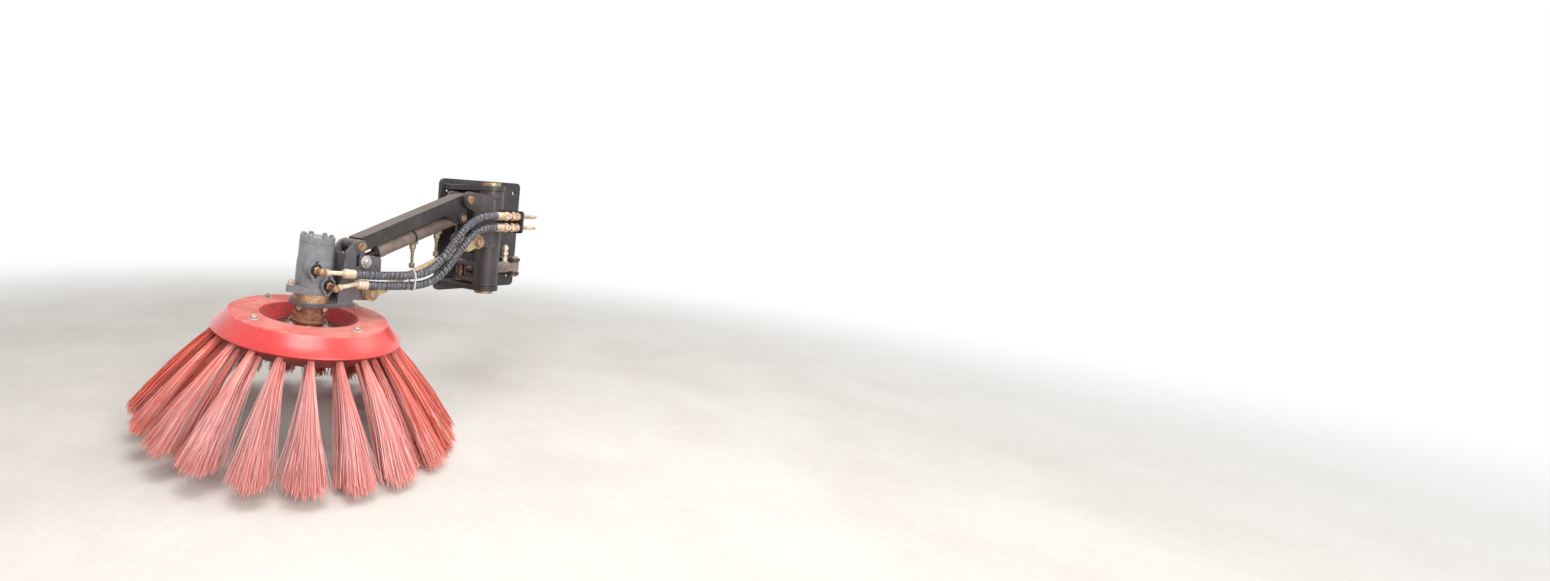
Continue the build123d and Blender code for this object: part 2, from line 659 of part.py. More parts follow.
# Brush cover: one pressed sheet with a well, a flat ring and a sloping flange
slope = math.atan2(cover_lip_drop, cover_lip_r - cover_flat_r)
skew = sheet * math.tan(slope / 2)
cover_section = Polyline(
    (cover_well_r - sheet, -cover_well_depth),
    (cover_well_r - sheet, 0),
    (cover_flat_r, 0),
    (cover_lip_r, -cover_lip_drop),
    (cover_lip_r - sheet * math.sin(slope), -cover_lip_drop - sheet * math.cos(slope)),
    (cover_flat_r - skew, -sheet),
    (cover_well_r, -sheet),
    (cover_well_r, -cover_well_depth),
    close=True,
)
turn_plane = Plane(origin=(0, 0, 0), x_dir=(1, 0, 0), z_dir=(0, -1, 0))
cover = revolve(turn_plane * make_face(cover_section), Axis.Z)
save("brush_cover", brush_at * cover, "crimson")

# Tuft board under the cover; its upper face follows the cover's flange
flange_back = 4
board_section = Polyline(
    (cover_well_r + board_gap, -sheet),
    (cover_flat_r - skew, -sheet),
    (
        cover_lip_r - sheet * math.sin(slope) - flange_back * math.cos(slope),
        -cover_lip_drop - sheet * math.cos(slope) + flange_back * math.sin(slope),
    ),
    (board_edge_r, -board_edge_drop),
    (board_face_r, -board_face_drop),
    (cover_well_r + board_gap, -board_inner_depth),
    close=True,
)
board = revolve(turn_plane * make_face(board_section), Axis.Z)


def tuft_section(depth, width):
    """A tuft's cross section, a rectangle with its corners cut at 45 degrees."""
    corner = tuft_corner_share * min(depth, width)
    return chamfer(Rectangle(depth, width).vertices(), corner)


# Tufts: each has a straight root in its socket and flares to its tip
tufts = []
sockets = []
for root_r, root_t, tip_r, tip_t in tuft_rows:
    lean = math.degrees(math.atan2(tip_r - root_r, root_t - tip_t))
    length = math.hypot(tip_r - root_r, root_t - tip_t)
    tip_width = tuft_tip_width * tip_r / tuft_rows[0][2]
    root = tuft_section(tuft_root, tuft_root)
    tip = tuft_section(tuft_tip_depth, tip_width)
    flare = loft([Pos(0, 0, -tuft_neck) * root, Pos(0, 0, -length) * tip], ruled=True)
    tuft = extrude(Pos(0, 0, tuft_socket) * root, -tuft_socket - tuft_neck) + flare
    opening = tuft_section(tuft_root + 2 * tuft_socket_gap, tuft_root + 2 * tuft_socket_gap)
    socket = extrude(Pos(0, 0, tuft_socket) * opening, -2 * tuft_socket)
    root_at = Pos(root_r, 0, root_t) * Rot(0, -lean, 0)
    for n in range(tuft_count):
        turn = Rot(0, 0, tuft_phase + n * 360 / tuft_count)
        tufts.append(brush_at * turn * root_at * tuft)
        sockets.append(turn * root_at * socket)
board -= sockets
save("tuft_board", brush_at * board, "firebrick")
save("bristle_tufts", Compound(children=tufts), "salmon")

# Motor port fittings: a collar on each port, a bent pipe that turns to the rear, and the hose's ferrule
port_out = (brush_at * Pos(0, -1, 0)).position - ring_centre
for letter, (x, t) in zip("ab", port_rows):
    port = (brush_at * Pos(x, -port_face, t)).position
    start, after = (Vector(ring_centre.X + run, hose_y, ring_centre.Z + height)
                    for run, height in hose_routes[letter][:2])
    heading = (after - start).normalized()
    ferrule_back = start - heading * ferrule_length
    bend = port + port_out * ((hose_y - port.Y) / port_out.Y)
    line = FilletPolyline(port, bend, ferrule_back, radius=fitting_bend_r)
    fitting = sweep(Plane(origin=port, z_dir=port_out) * Circle(tube_d / 2), path=line)
    collar = Cylinder(fitting_collar_r, fitting_collar_length, align=up)
    fitting += Plane(origin=port, z_dir=port_out).location * collar
    ferrule = Cylinder(ferrule_d / 2, ferrule_length, align=up)
    fitting += Plane(origin=ferrule_back, z_dir=heading).location * ferrule
    save(f"motor_fitting_{letter}", fitting, "khaki")

# Hoses: each lies in two lengths that meet near the tie, one to the motor and one to the turret
tie_heights = []
for letter, route in hose_routes.items():
    points = [Vector(ring_centre.X + run, hose_y, ring_centre.Z + height) for run, height in route]
    straight = (points[2] - points[1]) * (1 / (points[2].X - points[1].X))
    split = points[1] + straight * (ring_centre.X + hose_split_run - points[1].X)
    tie_heights.append((points[1] + straight * (ring_centre.X + hose_tie_run - points[1].X)).Z)
    for name, stretch in (
        (f"hose_front_{letter}", points[:2] + [split]),
        (f"hose_rear_{letter}", [split] + points[2:]),
    ):
        radii = []
        for before, corner, after in zip(stretch, stretch[1:], stretch[2:]):
            half_turn = math.radians((corner - before).get_angle(after - corner)) / 2
            shorter = min((corner - before).length, (after - corner).length)
            radii.append(0.45 * shorter / math.tan(half_turn))
        line = FilletPolyline(*stretch, radius=radii)
        tube = sweep(Plane(origin=line @ 0, z_dir=line % 0) * Circle(hose_d / 2), path=line)
        print(name, "length", round(line.length, 1), "radii", [round(r) for r in radii])
        save(name, tube, "black")

# The tie that holds the two hoses together
tie_frame = Plane(
    origin=(ring_centre.X + hose_tie_run, hose_y, tie_heights[0]), x_dir=(0, 1, 0), z_dir=(1, 0, 0)
)
loops = []
for radius in (hose_d / 2 + hose_tie_gap + hose_tie_thick, hose_d / 2 + hose_tie_gap):
    loops.append(flat_outline(Circle(radius), Pos(0, tie_heights[1] - tie_heights[0]) * Circle(radius)))
tie_loop = extrude(tie_frame * (loops[0] - loops[1]), hose_tie_width / 2, both=True)
save("hose_tie", tie_loop, "ivory")


def hex_bolt(across, head, washer_r, washer):
    bolt = Cylinder(washer_r, washer, align=up)
    return bolt + extrude(Pos(0, 0, washer) * RegularPolygon(across / 2, 6, major_radius=False), head)


# Bolts of the cover and of the hub
bolts = []
for n in range(cover_bolt_count):
    turn = Rot(0, 0, cover_bolt_phase + n * 360 / cover_bolt_count)
    bolts.append(brush_at * turn * Pos(cover_bolt_circle_r, 0, 0) * hex_bolt(19, 12, 15, 3))
save("cover_bolts", Compound(children=bolts), "goldenrod")
bolts = []
for n in range(hub_bolt_count):
    turn = Rot(0, 0, n * 360 / hub_bolt_count)
    seat = Pos(hub_bolt_circle_r, 0, hub_seat + hub_flange_thick)
    bolts.append(brush_at * turn * seat * hex_bolt(13, 8, 9, 1.5))
save("hub_bolts", Compound(children=bolts), "goldenrod")

print(len(written), "nodes")
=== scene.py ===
# %% [markdown]
# # A street sweeper's side broom, dressed in Blender
# The CAD model comes in as a fixed frame: every plate, pin and tube already stands where it belongs, in
# metres, with X to the rear of the truck, Y inboard and Z up. This script adds what CAD leaves out: thousands
# of bristles, the ribbed hoses, bolt heads and welds, and paint that has been at work on the road.

# %% Load the CAD frame
import json
import math

import bpy
from mathutils import Matrix, Vector, noise


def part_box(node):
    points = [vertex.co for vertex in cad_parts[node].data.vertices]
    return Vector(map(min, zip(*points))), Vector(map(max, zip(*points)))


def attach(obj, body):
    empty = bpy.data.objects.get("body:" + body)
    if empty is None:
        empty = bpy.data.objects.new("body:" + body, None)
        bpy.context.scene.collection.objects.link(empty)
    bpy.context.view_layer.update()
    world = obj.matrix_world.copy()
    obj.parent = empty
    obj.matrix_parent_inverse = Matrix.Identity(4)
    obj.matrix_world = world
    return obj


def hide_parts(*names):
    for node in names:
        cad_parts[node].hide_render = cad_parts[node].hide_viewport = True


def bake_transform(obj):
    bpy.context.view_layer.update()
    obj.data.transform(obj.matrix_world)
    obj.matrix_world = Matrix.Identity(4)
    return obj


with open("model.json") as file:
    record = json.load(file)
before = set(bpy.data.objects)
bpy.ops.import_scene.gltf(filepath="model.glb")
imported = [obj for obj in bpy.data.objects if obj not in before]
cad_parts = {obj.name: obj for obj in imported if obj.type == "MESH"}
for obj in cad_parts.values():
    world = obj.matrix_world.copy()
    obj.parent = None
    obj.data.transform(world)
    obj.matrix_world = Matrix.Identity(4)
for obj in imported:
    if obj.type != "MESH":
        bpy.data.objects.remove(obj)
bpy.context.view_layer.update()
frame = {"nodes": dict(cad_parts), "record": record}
nodes = frame["nodes"]

# %% [markdown]
# ## Sockets that take part in Python arithmetic
# Node trees get long when they are wired one link at a time. The class below wraps one socket, so that
# `1 - mask * 0.5` adds its Math nodes by itself. Vectors go through Vector Math and colours through Mix,
# because a Math node would turn a colour grey. The second class makes any other node from its type, its
# settings, which are set first, and what goes into its sockets.


# %% Terms and graphs
def operator(operation, swapped=False):
    """The method of a term that adds the node for one of Python's operators."""

    def method(self, other):
        return self.joined(operation, other, self) if swapped else self.joined(operation, self, other)

    return method


class Term:
    """A socket with Python's operators."""

    def __init__(self, graph, socket):
        self.graph, self.socket = graph, socket

    def __getitem__(self, output):
        return Term(self.graph, self.socket.node.outputs[output])

    def joined(self, operation, left, right):
        kinds = {side.socket.type for side in (left, right) if isinstance(side, Term)}
        if "RGBA" in kinds:
            mixing = {"data_type": "RGBA", "blend_type": operation}
            return self.graph.node("ShaderNodeMix", mixing, {0: 1.0, 6: left, 7: right}, 2)
        if "VECTOR" in kinds:
            vectors = [s for s in (left, right) if not is_number(s)]
            if len(vectors) == 1 and operation == "MULTIPLY":
                share = right if vectors[0] is left else left
                scaled = {"operation": "SCALE"}
                return self.graph.node("ShaderNodeVectorMath", scaled, {0: vectors[0], 3: share})
            return self.graph.node("ShaderNodeVectorMath", {"operation": operation}, {0: left, 1: right})
        return self.graph.node("ShaderNodeMath", {"operation": operation}, {0: left, 1: right})

    __add__, __radd__ = operator("ADD"), operator("ADD", swapped=True)
    __sub__, __rsub__ = operator("SUBTRACT"), operator("SUBTRACT", swapped=True)
    __mul__, __rmul__ = operator("MULTIPLY"), operator("MULTIPLY", swapped=True)
    __truediv__, __rtruediv__ = operator("DIVIDE"), operator("DIVIDE", swapped=True)
    __pow__, __gt__ = operator("POWER"), operator("GREATER_THAN")


def is_number(side):
    """Whether a side of an expression is a plain number or a value socket."""
    return side.socket.type in ("VALUE", "INT") if isinstance(side, Term) else isinstance(side, (int, float))


class Graph:
    """A node tree that is written as calls."""

    def __init__(self, tree):
        self.tree = tree

    def node(self, kind, settings=None, sockets=None, output=0):
        made = self.tree.nodes.new(kind)
        for name, value in (settings or {}).items():
            if name == "stops":
                ramp = made.color_ramp.elements
                while len(ramp) < len(value):
                    ramp.new(1.0)
                for stop, (position, colour) in zip(ramp, value):
                    stop.position, stop.color = position, colour
            else:
                setattr(made, name, value)
        for name, value in (sockets or {}).items():
            for part in value if isinstance(value, list) else [value]:
                if isinstance(part, Term):
                    self.tree.links.new(part.socket, made.inputs[name])
                else:
                    made.inputs[name].default_value = part
        return Term(self, made.outputs[output]) if len(made.outputs) else made

    def value(self, operation, *sides):
        return self.node("ShaderNodeMath", {"operation": operation}, dict(enumerate(sides)))

    def dot(self, first, second):
        settings = {"operation": "DOT_PRODUCT"}
        return self.node("ShaderNodeVectorMath", settings, {0: first, 1: second}, "Value")

    def band(self, value, low, high):
        """0 up to low, 1 from high, smooth between them."""
        ends = {0: value, 1: low, 2: high, 3: 0.0, 4: 1.0}
        return self.node("ShaderNodeMapRange", {"interpolation_type": "SMOOTHSTEP"}, ends)

    def mix(self, share, first, second):
        return self.node("ShaderNodeMix", {"data_type": "RGBA"}, {0: share, 6: first, 7: second}, 2)

    def place(self):
        """Object coordinates."""
        return self.node("ShaderNodeTexCoord")["Object"]

    def noise(self, place, scale, detail=3.0, roughness=0.55):
        sockets = {"Vector": place, "Scale": scale, "Detail": detail, "Roughness": roughness}
        return self.node("ShaderNodeTexNoise", None, sockets)

    def bump(self, height, strength, distance, rounded=None):
        """Fine relief, over a normal with rounded edges where there is one."""
        sockets = {"Height": height, "Strength": strength, "Distance": distance}
        return self.node("ShaderNodeBump", None, sockets | ({"Normal": rounded} if rounded else {}))

    def stored(self, geometry, name, value, kind="FLOAT"):
        """Geometry with a named attribute on its points."""
        sockets = {"Geometry": geometry, "Name": name, "Value": value}
        return self.node("GeometryNodeStoreNamedAttribute", {"data_type": kind, "domain": "POINT"}, sockets)

    def named(self, name, kind="FLOAT"):
        """A named attribute, read back in its tree."""
        return self.node("GeometryNodeInputNamedAttribute", {"data_type": kind}, {"Name": name})

    def attribute(self, name):
        """A named attribute, read by a material."""
        return self.node("ShaderNodeAttribute", {"attribute_name": name})["Fac"]

    def stepped(self, edges, step):
        """A curve along a mesh of edges, with a point at each step."""
        line = self.node("GeometryNodeMeshToCurve", None, {"Mesh": edges})
        return self.node("GeometryNodeResampleCurve", {"mode": "LENGTH"}, {"Curve": line, "Length": step})

    def circle(self, sides, radius=1.0):
        return self.node("GeometryNodeCurvePrimitiveCircle", None, {"Resolution": sides, "Radius": radius})

    def swept(self, curve, profile, scale):
        """A closed tube along a curve, shaded smooth."""
        sockets = {"Curve": curve, "Profile Curve": profile, "Scale": scale, "Fill Caps": True}
        tube = self.node("GeometryNodeCurveToMesh", None, sockets)
        return self.node("GeometryNodeSetShadeSmooth", None, {"Geometry": tube})


def srgb(red, green, blue):
    """A colour as a paint chart gives it, made linear."""
    parts = [c / 255 for c in (red, green, blue)]
    return (*(c / 12.92 if c <= 0.04045 else ((c + 0.055) / 1.055) ** 2.4 for c in parts), 1.0)


# %% [markdown]
# ## A tree that grows geometry
# Bristles, bolts, ribs and welds repeat, so Geometry Nodes make them. Each tree has named inputs. The helper
# sets them by identifier before the object is first evaluated, keeps the result as a plain mesh and drops the
# tree's object, because the modifier would not travel with the exported model.


# %% Growing a piece
def in_scene(name, data):
    """An object in the scene."""
    made = bpy.data.objects.new(name, data)
    bpy.context.scene.collection.objects.link(made)
    return made


def mesh_of(name, points, edges=(), faces=()):
    mesh = bpy.data.meshes.new(name)
    mesh.from_pydata(points, edges, faces)
    return mesh


def plain_mesh(made):
    """An object's mesh, with its modifiers or its curve worked out."""
    depsgraph = bpy.context.evaluated_depsgraph_get()
    return bpy.data.meshes.new_from_object(made.evaluated_get(depsgraph), depsgraph=depsgraph)


def settle(piece, body, slot, *replaced):
    """Gives a piece its body and hides the CAD nodes that it stands for; the slot is not used."""
    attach(piece, body)
    for node in replaced:
        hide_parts(node)


def new_tree(name, seat=None, **sizes):
    """A geometry tree and its inputs as terms: a mesh to grow on, sizes with their defaults, and a finish."""
    tree = bpy.data.node_groups.new(name, "GeometryNodeTree")
    tree.interface.new_socket("Geometry", in_out="OUTPUT", socket_type="NodeSocketGeometry")
    kinds = {seat: "Geometry"} if seat else {}
    kinds |= {label: "Int" if isinstance(default, int) else "Float" for label, default in sizes.items()}
    kinds["Finish"] = "Material"
    for label, kind in kinds.items():
        spaced = label.replace("_", " ")
        item = tree.interface.new_socket(spaced, in_out="INPUT", socket_type="NodeSocket" + kind)
        if label in sizes:
            item.default_value = sizes[label]
    graph = Graph(tree)
    source = tree.nodes.new("NodeGroupInput")
    return graph, {socket.name: Term(graph, socket) for socket in source.outputs if socket.name}


def end_tree(graph, geometry, material):
    """Realize Instances, Set Material and the tree's output."""
    real = graph.node("GeometryNodeRealizeInstances", None, {"Geometry": geometry})
    painted = graph.node("GeometryNodeSetMaterial", None, {"Geometry": real, "Material": material})
    graph.node("NodeGroupOutput", None, {"Geometry": painted})


def grow(name, graph, material, seat=None, **sizes):
    """Runs a tree on a mesh, or on nothing, and returns a plain mesh object."""
    carrier = in_scene(name + "_carrier", seat or bpy.data.meshes.new(name + "_seat"))
    modifier = carrier.modifiers.new("tree", "NODES")
    modifier.node_group = graph.tree
    sizes["Finish"] = material
    for item in graph.tree.interface.items_tree:
        key = item.name.replace(" ", "_")
        if item.in_out == "INPUT" and key in sizes:
            modifier[item.identifier] = sizes[key]
    mesh = plain_mesh(carrier)
    carrier.modifiers.remove(modifier)
    bpy.data.objects.remove(carrier)
    mesh.name = name
    print(name, len(mesh.vertices), "points,", sum(len(p.vertices) - 2 for p in mesh.polygons), "triangles")
    return in_scene(name, mesh)


# %% [markdown]
# ## Places on the broom
# The brush leans 3 degrees to the rear and 4.2 degrees outboard, so that its outboard edge, at the kerb,
# sweeps harder. Heights on it are measured along that leaning axis from the middle of the cover's top face.

# %% The brush's own frame
ring_centre = Vector((-0.740, -0.150, -0.195))
lean_rear, lean_outboard = math.radians(3.0), math.radians(4.2)
brush_axis = Vector((math.tan(lean_rear), -math.tan(lean_outboard), 1)).normalized()
brush_side = Vector((brush_axis.z, 0, -brush_axis.x)).normalized()
brush_back = brush_axis.cross(brush_side)
leaning = Matrix((brush_side, brush_back, brush_axis)).transposed()
brush_at = Matrix.Translation(ring_centre) @ leaning.to_4x4()
floor_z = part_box("bristle_tufts")[0].z
print("brush axis:", [round(x, 4) for x in brush_axis], "floor at", round(floor_z, 4))

# %% [markdown]
# ## Camera
# The photograph joins two pictures side by side, and the broom stands in the left one. Its camera was solved
# from the cover's circles: low, in front of the broom and outboard of it, with a short lens. Its focal length
# and the photograph's width are in pixels. The frame reaches further to the right of the lens's axis than to
# the left, which a horizontal shift gives.

# %% Camera
right = Vector((0.80995, -0.58437, 0.04981))
down = Vector((-0.05425, -0.15921, -0.98575))
ahead = Vector((0.58398, 0.79571, -0.16066))
stand = (-1.47893, -1.50083, 0.12415)
photo_width, focal_length = 1550, 590
camera_data = bpy.data.cameras.new("camera")
camera_data.sensor_width = 36.0
camera_data.lens = camera_data.sensor_width * focal_length / photo_width
camera_data.shift_x = 0.25
camera_data.clip_start, camera_data.clip_end = 0.02, 60
camera = in_scene("camera", camera_data)
camera.matrix_world = Matrix.Translation(stand) @ Matrix((right, -down, -ahead)).transposed().to_4x4()
bpy.context.scene.camera = camera
print("lens", round(camera_data.lens, 2), "mm")

# %% [markdown]
# ## Hoses
# Two hydraulic hoses run from the motor to a bulkhead on the turret. Each is rubber in a wound spiral guard,
# tied to its neighbour halfway. They could be swept straight from the CAD route, but real hose never shows
# where one arc ends and the next begins, so each length is a smooth NURBS line with the route's points as its
# controls. They lie in two lengths, a front one at the head and a rear one along the arm.

# %% Hose lines
hose_y = -0.250
hose_split = 0.254
hose_routes = {
    "a": (
        (72.4, 113.8), (150, 105.2), (288, 104.4), (330, 117.6), (365, 144.2),
        (399.5, 183.5), (445, 233.5), (483.5, 258.5), (526, 271), (569.5, 271),
    ),
    "b": (
        (112.3, 84.5), (180, 77.3), (298, 75.2), (348.3, 92), (383.5, 117.5),
        (414.5, 150.7), (455, 197), (491, 224), (529.5, 237), (569.5, 237),
    ),
}


def route_place(run, height):
    """A place on a route, given in mm behind and above the middle of the cover."""
    place = ring_centre + Vector((run / 1000, 0, height / 1000))
    place.y = hose_y
    return place


def smooth_line(points):
    """The points along a NURBS line that has the route's points as its controls."""
    data = bpy.data.curves.new("route", "CURVE")
    data.dimensions = "3D"
    spline = data.splines.new("NURBS")
    spline.points.add(len(points) - 1)
    for control, point in zip(spline.points, points):
        control.co = (*point, 1.0)
    spline.order_u = 3
    spline.use_endpoint_u = True
    spline.resolution_u = 20
    route = in_scene("route", data)
    path = [v.co.copy() for v in plain_mesh(route).vertices]
    bpy.data.objects.remove(route)
    return path


def length_of(path):
    return sum((a - b).length for a, b in zip(path, path[1:]))


hose_paths = {}
for letter, route in hose_routes.items():
    points = [route_place(*point) for point in route]
    share = (ring_centre.x + hose_split - points[1].x) / (points[2].x - points[1].x)
    split = points[1].lerp(points[2], share)
    hose_paths["front_" + letter] = smooth_line([*points[:2], split])
    hose_paths["rear_" + letter] = smooth_line([split, *points[2:]])
for name, path in hose_paths.items():
    print(name, round(length_of(path), 4), "m,", len(path), "points")

# %% [markdown]
# The guard is a flat strip wound round the rubber, so the hose's outside rises and falls along a helix. A
# swept circle gives the tube. How far along it and how far round it a point lies tells whether the strip
# covers it, and such points are pushed outwards. Two sines stretch and bunch the winding, as use does. The
# same measure is kept as an attribute, so that the strip and the rubber in the grooves get their own colours.

# %% Ribbed hose tree
hose, size = new_tree(
    "ribbed_hose", "Line", Rubber_radius=0.0094, Guard_radius=0.0113, Pitch=0.0100, Step=0.0011, Sides=24
)
line = hose.stepped(size["Line"], size["Step"])
line = hose.stored(line, "far", hose.node("GeometryNodeSplineParameter")["Length"])
line = hose.stored(line, "centre", hose.node("GeometryNodeInputPosition"), "FLOAT_VECTOR")
ring = hose.stored(hose.circle(size["Sides"]), "round", hose.node("GeometryNodeSplineParameter"))
tube = hose.swept(line, ring, size["Rubber radius"])
far, around, centre = hose.named("far"), hose.named("round"), hose.named("centre", "FLOAT_VECTOR")
slack = hose.value("SINE", far * 71.0) * 0.45 + hose.value("SINE", far * 23.0 + 1.0) * 0.8
turn = hose.value("FRACT", far / size["Pitch"] + around + slack)
strip = hose.band(0.5 - hose.value("ABSOLUTE", turn - 0.5), 0.07, 0.19)
tube = hose.stored(tube, "strip", strip)
strip = hose.named("strip")
grown = 1.0 + strip * (size["Guard radius"] / size["Rubber radius"] - 1.0)
outward = (hose.node("GeometryNodeInputPosition") - centre) * grown
tube = hose.node("GeometryNodeSetPosition", None, {"Geometry": tube, "Position": centre + outward})
end_tree(hose, tube, size["Finish"])

# %% [markdown]
# Black rubber with a dusty bloom in its grooves, and a guard of grey-black plastic that its ribs keep
# polished, with scuffs and painted glints in pale grey along the ribs.

# %% Hose finish
def new_finish(name):
    material = bpy.data.materials.new(name)
    material.use_nodes = True
    material.node_tree.nodes.clear()
    return material, Graph(material.node_tree)


def end_finish(graph, **sockets):
    """The shader and its output; sockets are named with underscores."""
    inputs = {name.replace("_", " "): value for name, value in sockets.items()}
    shader = graph.node("ShaderNodeBsdfPrincipled", None, inputs)
    graph.node("ShaderNodeOutputMaterial", None, {"Surface": shader})


hose_finish, g = new_finish("guarded_hose")
place = g.place()
strip = g.attribute("strip")
cloud = g.noise(place, 45.0)
scuff_and_glint = g.band(g.noise(place, 160.0, 5.0), 0.5, 0.75)
tone = g.mix(strip, srgb(14, 13, 15), srgb(84, 83, 92))
# pale grey flecks on the ribs: scuffs and painted glints
tone = g.mix(scuff_and_glint * strip * 0.7, tone, srgb(180, 180, 190))
tone = g.mix(g.band(cloud, 0.5, 0.8) * 0.3, tone, srgb(140, 130, 122))
bump = g.bump(g.noise(place, 900.0), 0.35, 0.0006)
end_finish(g, Base_Color=tone, Roughness=0.42 - strip * 0.24 + scuff_and_glint * 0.14, Normal=bump)

# %% Hoses in place
hose_bends = {
    "front_a": ("head", "arm", -0.655, -0.520),
    "front_b": ("head", "arm", -0.615, -0.520),
    "rear_a": ("arm", "turret", -0.450, -0.200),
    "rear_b": ("arm", "turret", -0.450, -0.200),
}
for name, (near_body, far_body, start_x, end_x) in hose_bends.items():
    path = hose_paths[name]
    centre_line = mesh_of(name + "_line", path, [(i, i + 1) for i in range(len(path) - 1)])
    piece = grow("guarded_hose_" + name, hose, hose_finish, centre_line)
    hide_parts("hose_" + name)
    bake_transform(piece)

# %% [markdown]
# ## Bristles
# Each tuft is a bundle of stiff red plastic bristles, doubled in a socket of the board. They leave it as a
# neck no thicker than a thumb and fan out towards their tips. Wet dirt glues neighbours into locks, wear
# leaves the tips uneven, and a few strands have strayed. Particle hair would look right but would not export,
# and modelled cones would look like cones. So a tree makes one straight strand, copies it for every bristle
# and then sets each strand's points from its tuft, its lock, its place in the tuft and how far along it they
# are.

# %% Bristle tree
brush, size = new_tree(
    "bristle_row", Tufts=21, Strands=350, Lock=7, Phase=0.0, Seed=5, Thickness=0.0018, Hidden_root=0.008,
    Root_radius=0.230, Root_height=-0.055, Root_half=0.0072,
    Tip_radius=0.430, Tip_height=-0.276, Tip_half_width=0.054, Tip_half_depth=0.030,
)
strand = brush.node("GeometryNodeCurvePrimitiveLine", None, {"Start": (0, 0, 0), "End": (0, 0, 1)})
strand = brush.node("GeometryNodeResampleCurve", {"mode": "COUNT"}, {"Curve": strand, "Count": 4})
copies = brush.node(
    "GeometryNodeDuplicateElements", {"domain": "SPLINE"},
    {"Geometry": strand, "Amount": size["Tufts"] * size["Strands"]},
)
number = copies["Duplicate Index"]
tuft = brush.value("FLOOR", (number + 0.5) / size["Strands"])
lock = brush.value("FLOOR", (number + 0.5) / size["Lock"])
along = brush.node("GeometryNodeSplineParameter")


def chance(low, high, owner, salt):
    """A random value between low and high that belongs to one strand, one lock or one tuft."""
    ends = {2: low, 3: high, 7: owner, 8: size["Seed"] + salt}
    return brush.node("FunctionNodeRandomValue", {"data_type": "FLOAT"}, ends, 1)


angle = size["Phase"] + (tuft + chance(-0.05, 0.05, tuft, 1)) * (2 * math.pi) / size["Tufts"]
across = chance(-0.72, 0.72, lock, 2) + chance(-0.28, 0.28, number, 13)
deep = chance(-0.7, 0.7, lock, 3) + chance(-0.3, 0.3, number, 14)
deep = deep * brush.value("SQRT", 1.05 - across * across)
out_run = size["Tip radius"] - size["Root radius"]
drop = size["Root height"] - size["Tip height"]
length = brush.value("SQRT", out_run * out_run + drop * drop)
lean_out, lean_down = out_run / length, drop / length
worn = chance(-0.025, 0.085, number, 4) + chance(-0.012, 0.03, lock, 15)
worn = worn + brush.value("ABSOLUTE", across) * 0.03
reach = length * (1.0 - worn) * chance(0.99, 1.01, tuft, 5)
stray = chance(0.0, 1.0, number, 6) > 0.93
spread = along ** 1.3
fan = spread * (chance(0.70, 0.96, tuft, 7) + stray * chance(0.05, 0.5, number, 16))
side_way = across * (size["Root half"] + (size["Tip half width"] - size["Root half"]) * fan)
drift = chance(-0.011, 0.011, number, 8) + chance(-0.004, 0.004, lock, 17) + chance(-0.009, 0.009, tuft, 9)
side_way = side_way + spread * drift + (along ** 6.0) * chance(-0.007, 0.007, number, 18)
half_depth = size["Root half"] + (size["Tip half depth"] - size["Root half"]) * spread
depth_way = (deep * (1.0 - spread * 0.25) - spread * 0.42) * half_depth
bow = brush.value("SINE", along * math.pi)
depth_way = depth_way + bow * (chance(-0.001, 0.003, number, 10) + chance(-0.003, 0.004, lock, 19))
side_way = side_way + bow * (chance(-0.0014, 0.0014, number, 11) + chance(-0.0022, 0.0022, lock, 20))
away = along * (reach + size["Hidden root"]) - size["Hidden root"]
radial = size["Root radius"] + lean_out * away + lean_down * depth_way
height = size["Root height"] - lean_down * away + lean_out * depth_way
flat = brush.node("ShaderNodeCombineXYZ", None, {"X": radial, "Y": side_way, "Z": height})
placed = brush.node("ShaderNodeVectorRotate", {"rotation_type": "Z_AXIS"}, {"Vector": flat, "Angle": angle})
rows = brush.node("GeometryNodeSetPosition", None, {"Geometry": copies, "Position": placed})
for label, value in (
    ("strand", chance(0.0, 1.0, number, 12)), ("lock", chance(0.0, 1.0, lock, 21)),
    ("tuft", chance(0.0, 1.0, tuft, 22)), ("along", along),
):
    rows = brush.stored(rows, label, value)
hair = brush.swept(rows, brush.circle(3, size["Thickness"] * 0.5), 1.0 - along * 0.25)
end_tree(brush, hair, size["Finish"])

# %% [markdown]
# The plastic is a salmon red that bleaches towards pink where it has been bent and scuffed. Every strand has
# its own tone, and so has every lock. The brush's front side is painted paler, a painted sheen. The roots
# are darker, and a few strands are stained nearly black.

# %% Bristle finish
bristle_finish, g = new_finish("bristle_plastic")
strand, lock, tuft, along = (g.attribute(name) for name in ("strand", "lock", "tuft", "along"))
place = g.place()
tones = [
    (0.0, srgb(140, 26, 20)), (0.24, srgb(214, 60, 44)), (0.42, srgb(246, 102, 82)),
    (0.6, srgb(253, 138, 120)), (0.8, srgb(255, 188, 178)), (0.94, srgb(255, 240, 232)),
    (0.965, srgb(84, 42, 36)),
]
tone = g.node("ShaderNodeValToRGB", {"stops": tones}, {"Fac": strand * 0.78 + lock * 0.16 + tuft * 0.06})
# painted sheen: the brush's front side is painted pale pink
sheen_side = (-0.57, -0.82, 0.0)
outward = g.dot(place - tuple(ring_centre), sheen_side)
painted_sheen = g.band(outward + (g.noise(place, 6.0) - 0.5) * 0.2, 0.10, 0.34)
tone = g.mix(painted_sheen * (0.38 + strand * 0.3), tone, srgb(255, 216, 216))
grime = g.band(g.noise(place, 22.0, 4.0), 0.45, 0.75)
# the first quarter of each strand, at the root, is darker
tone = g.mix((1 - g.band(along, 0.0, 0.25)) * 0.3, tone, srgb(170, 62, 54))
tone = g.mix(g.band(along, 0.78, 1.0) * (0.15 + strand * 0.35), tone, srgb(234, 130, 108))
tone = g.mix(grime * 0.14, tone, srgb(170, 110, 96))
bump = g.bump(g.noise(place, 700.0), 0.15, 0.0005)
end_finish(g, Base_Color=tone, Roughness=0.3 + strand * 0.18 + grime * 0.15, Normal=bump)

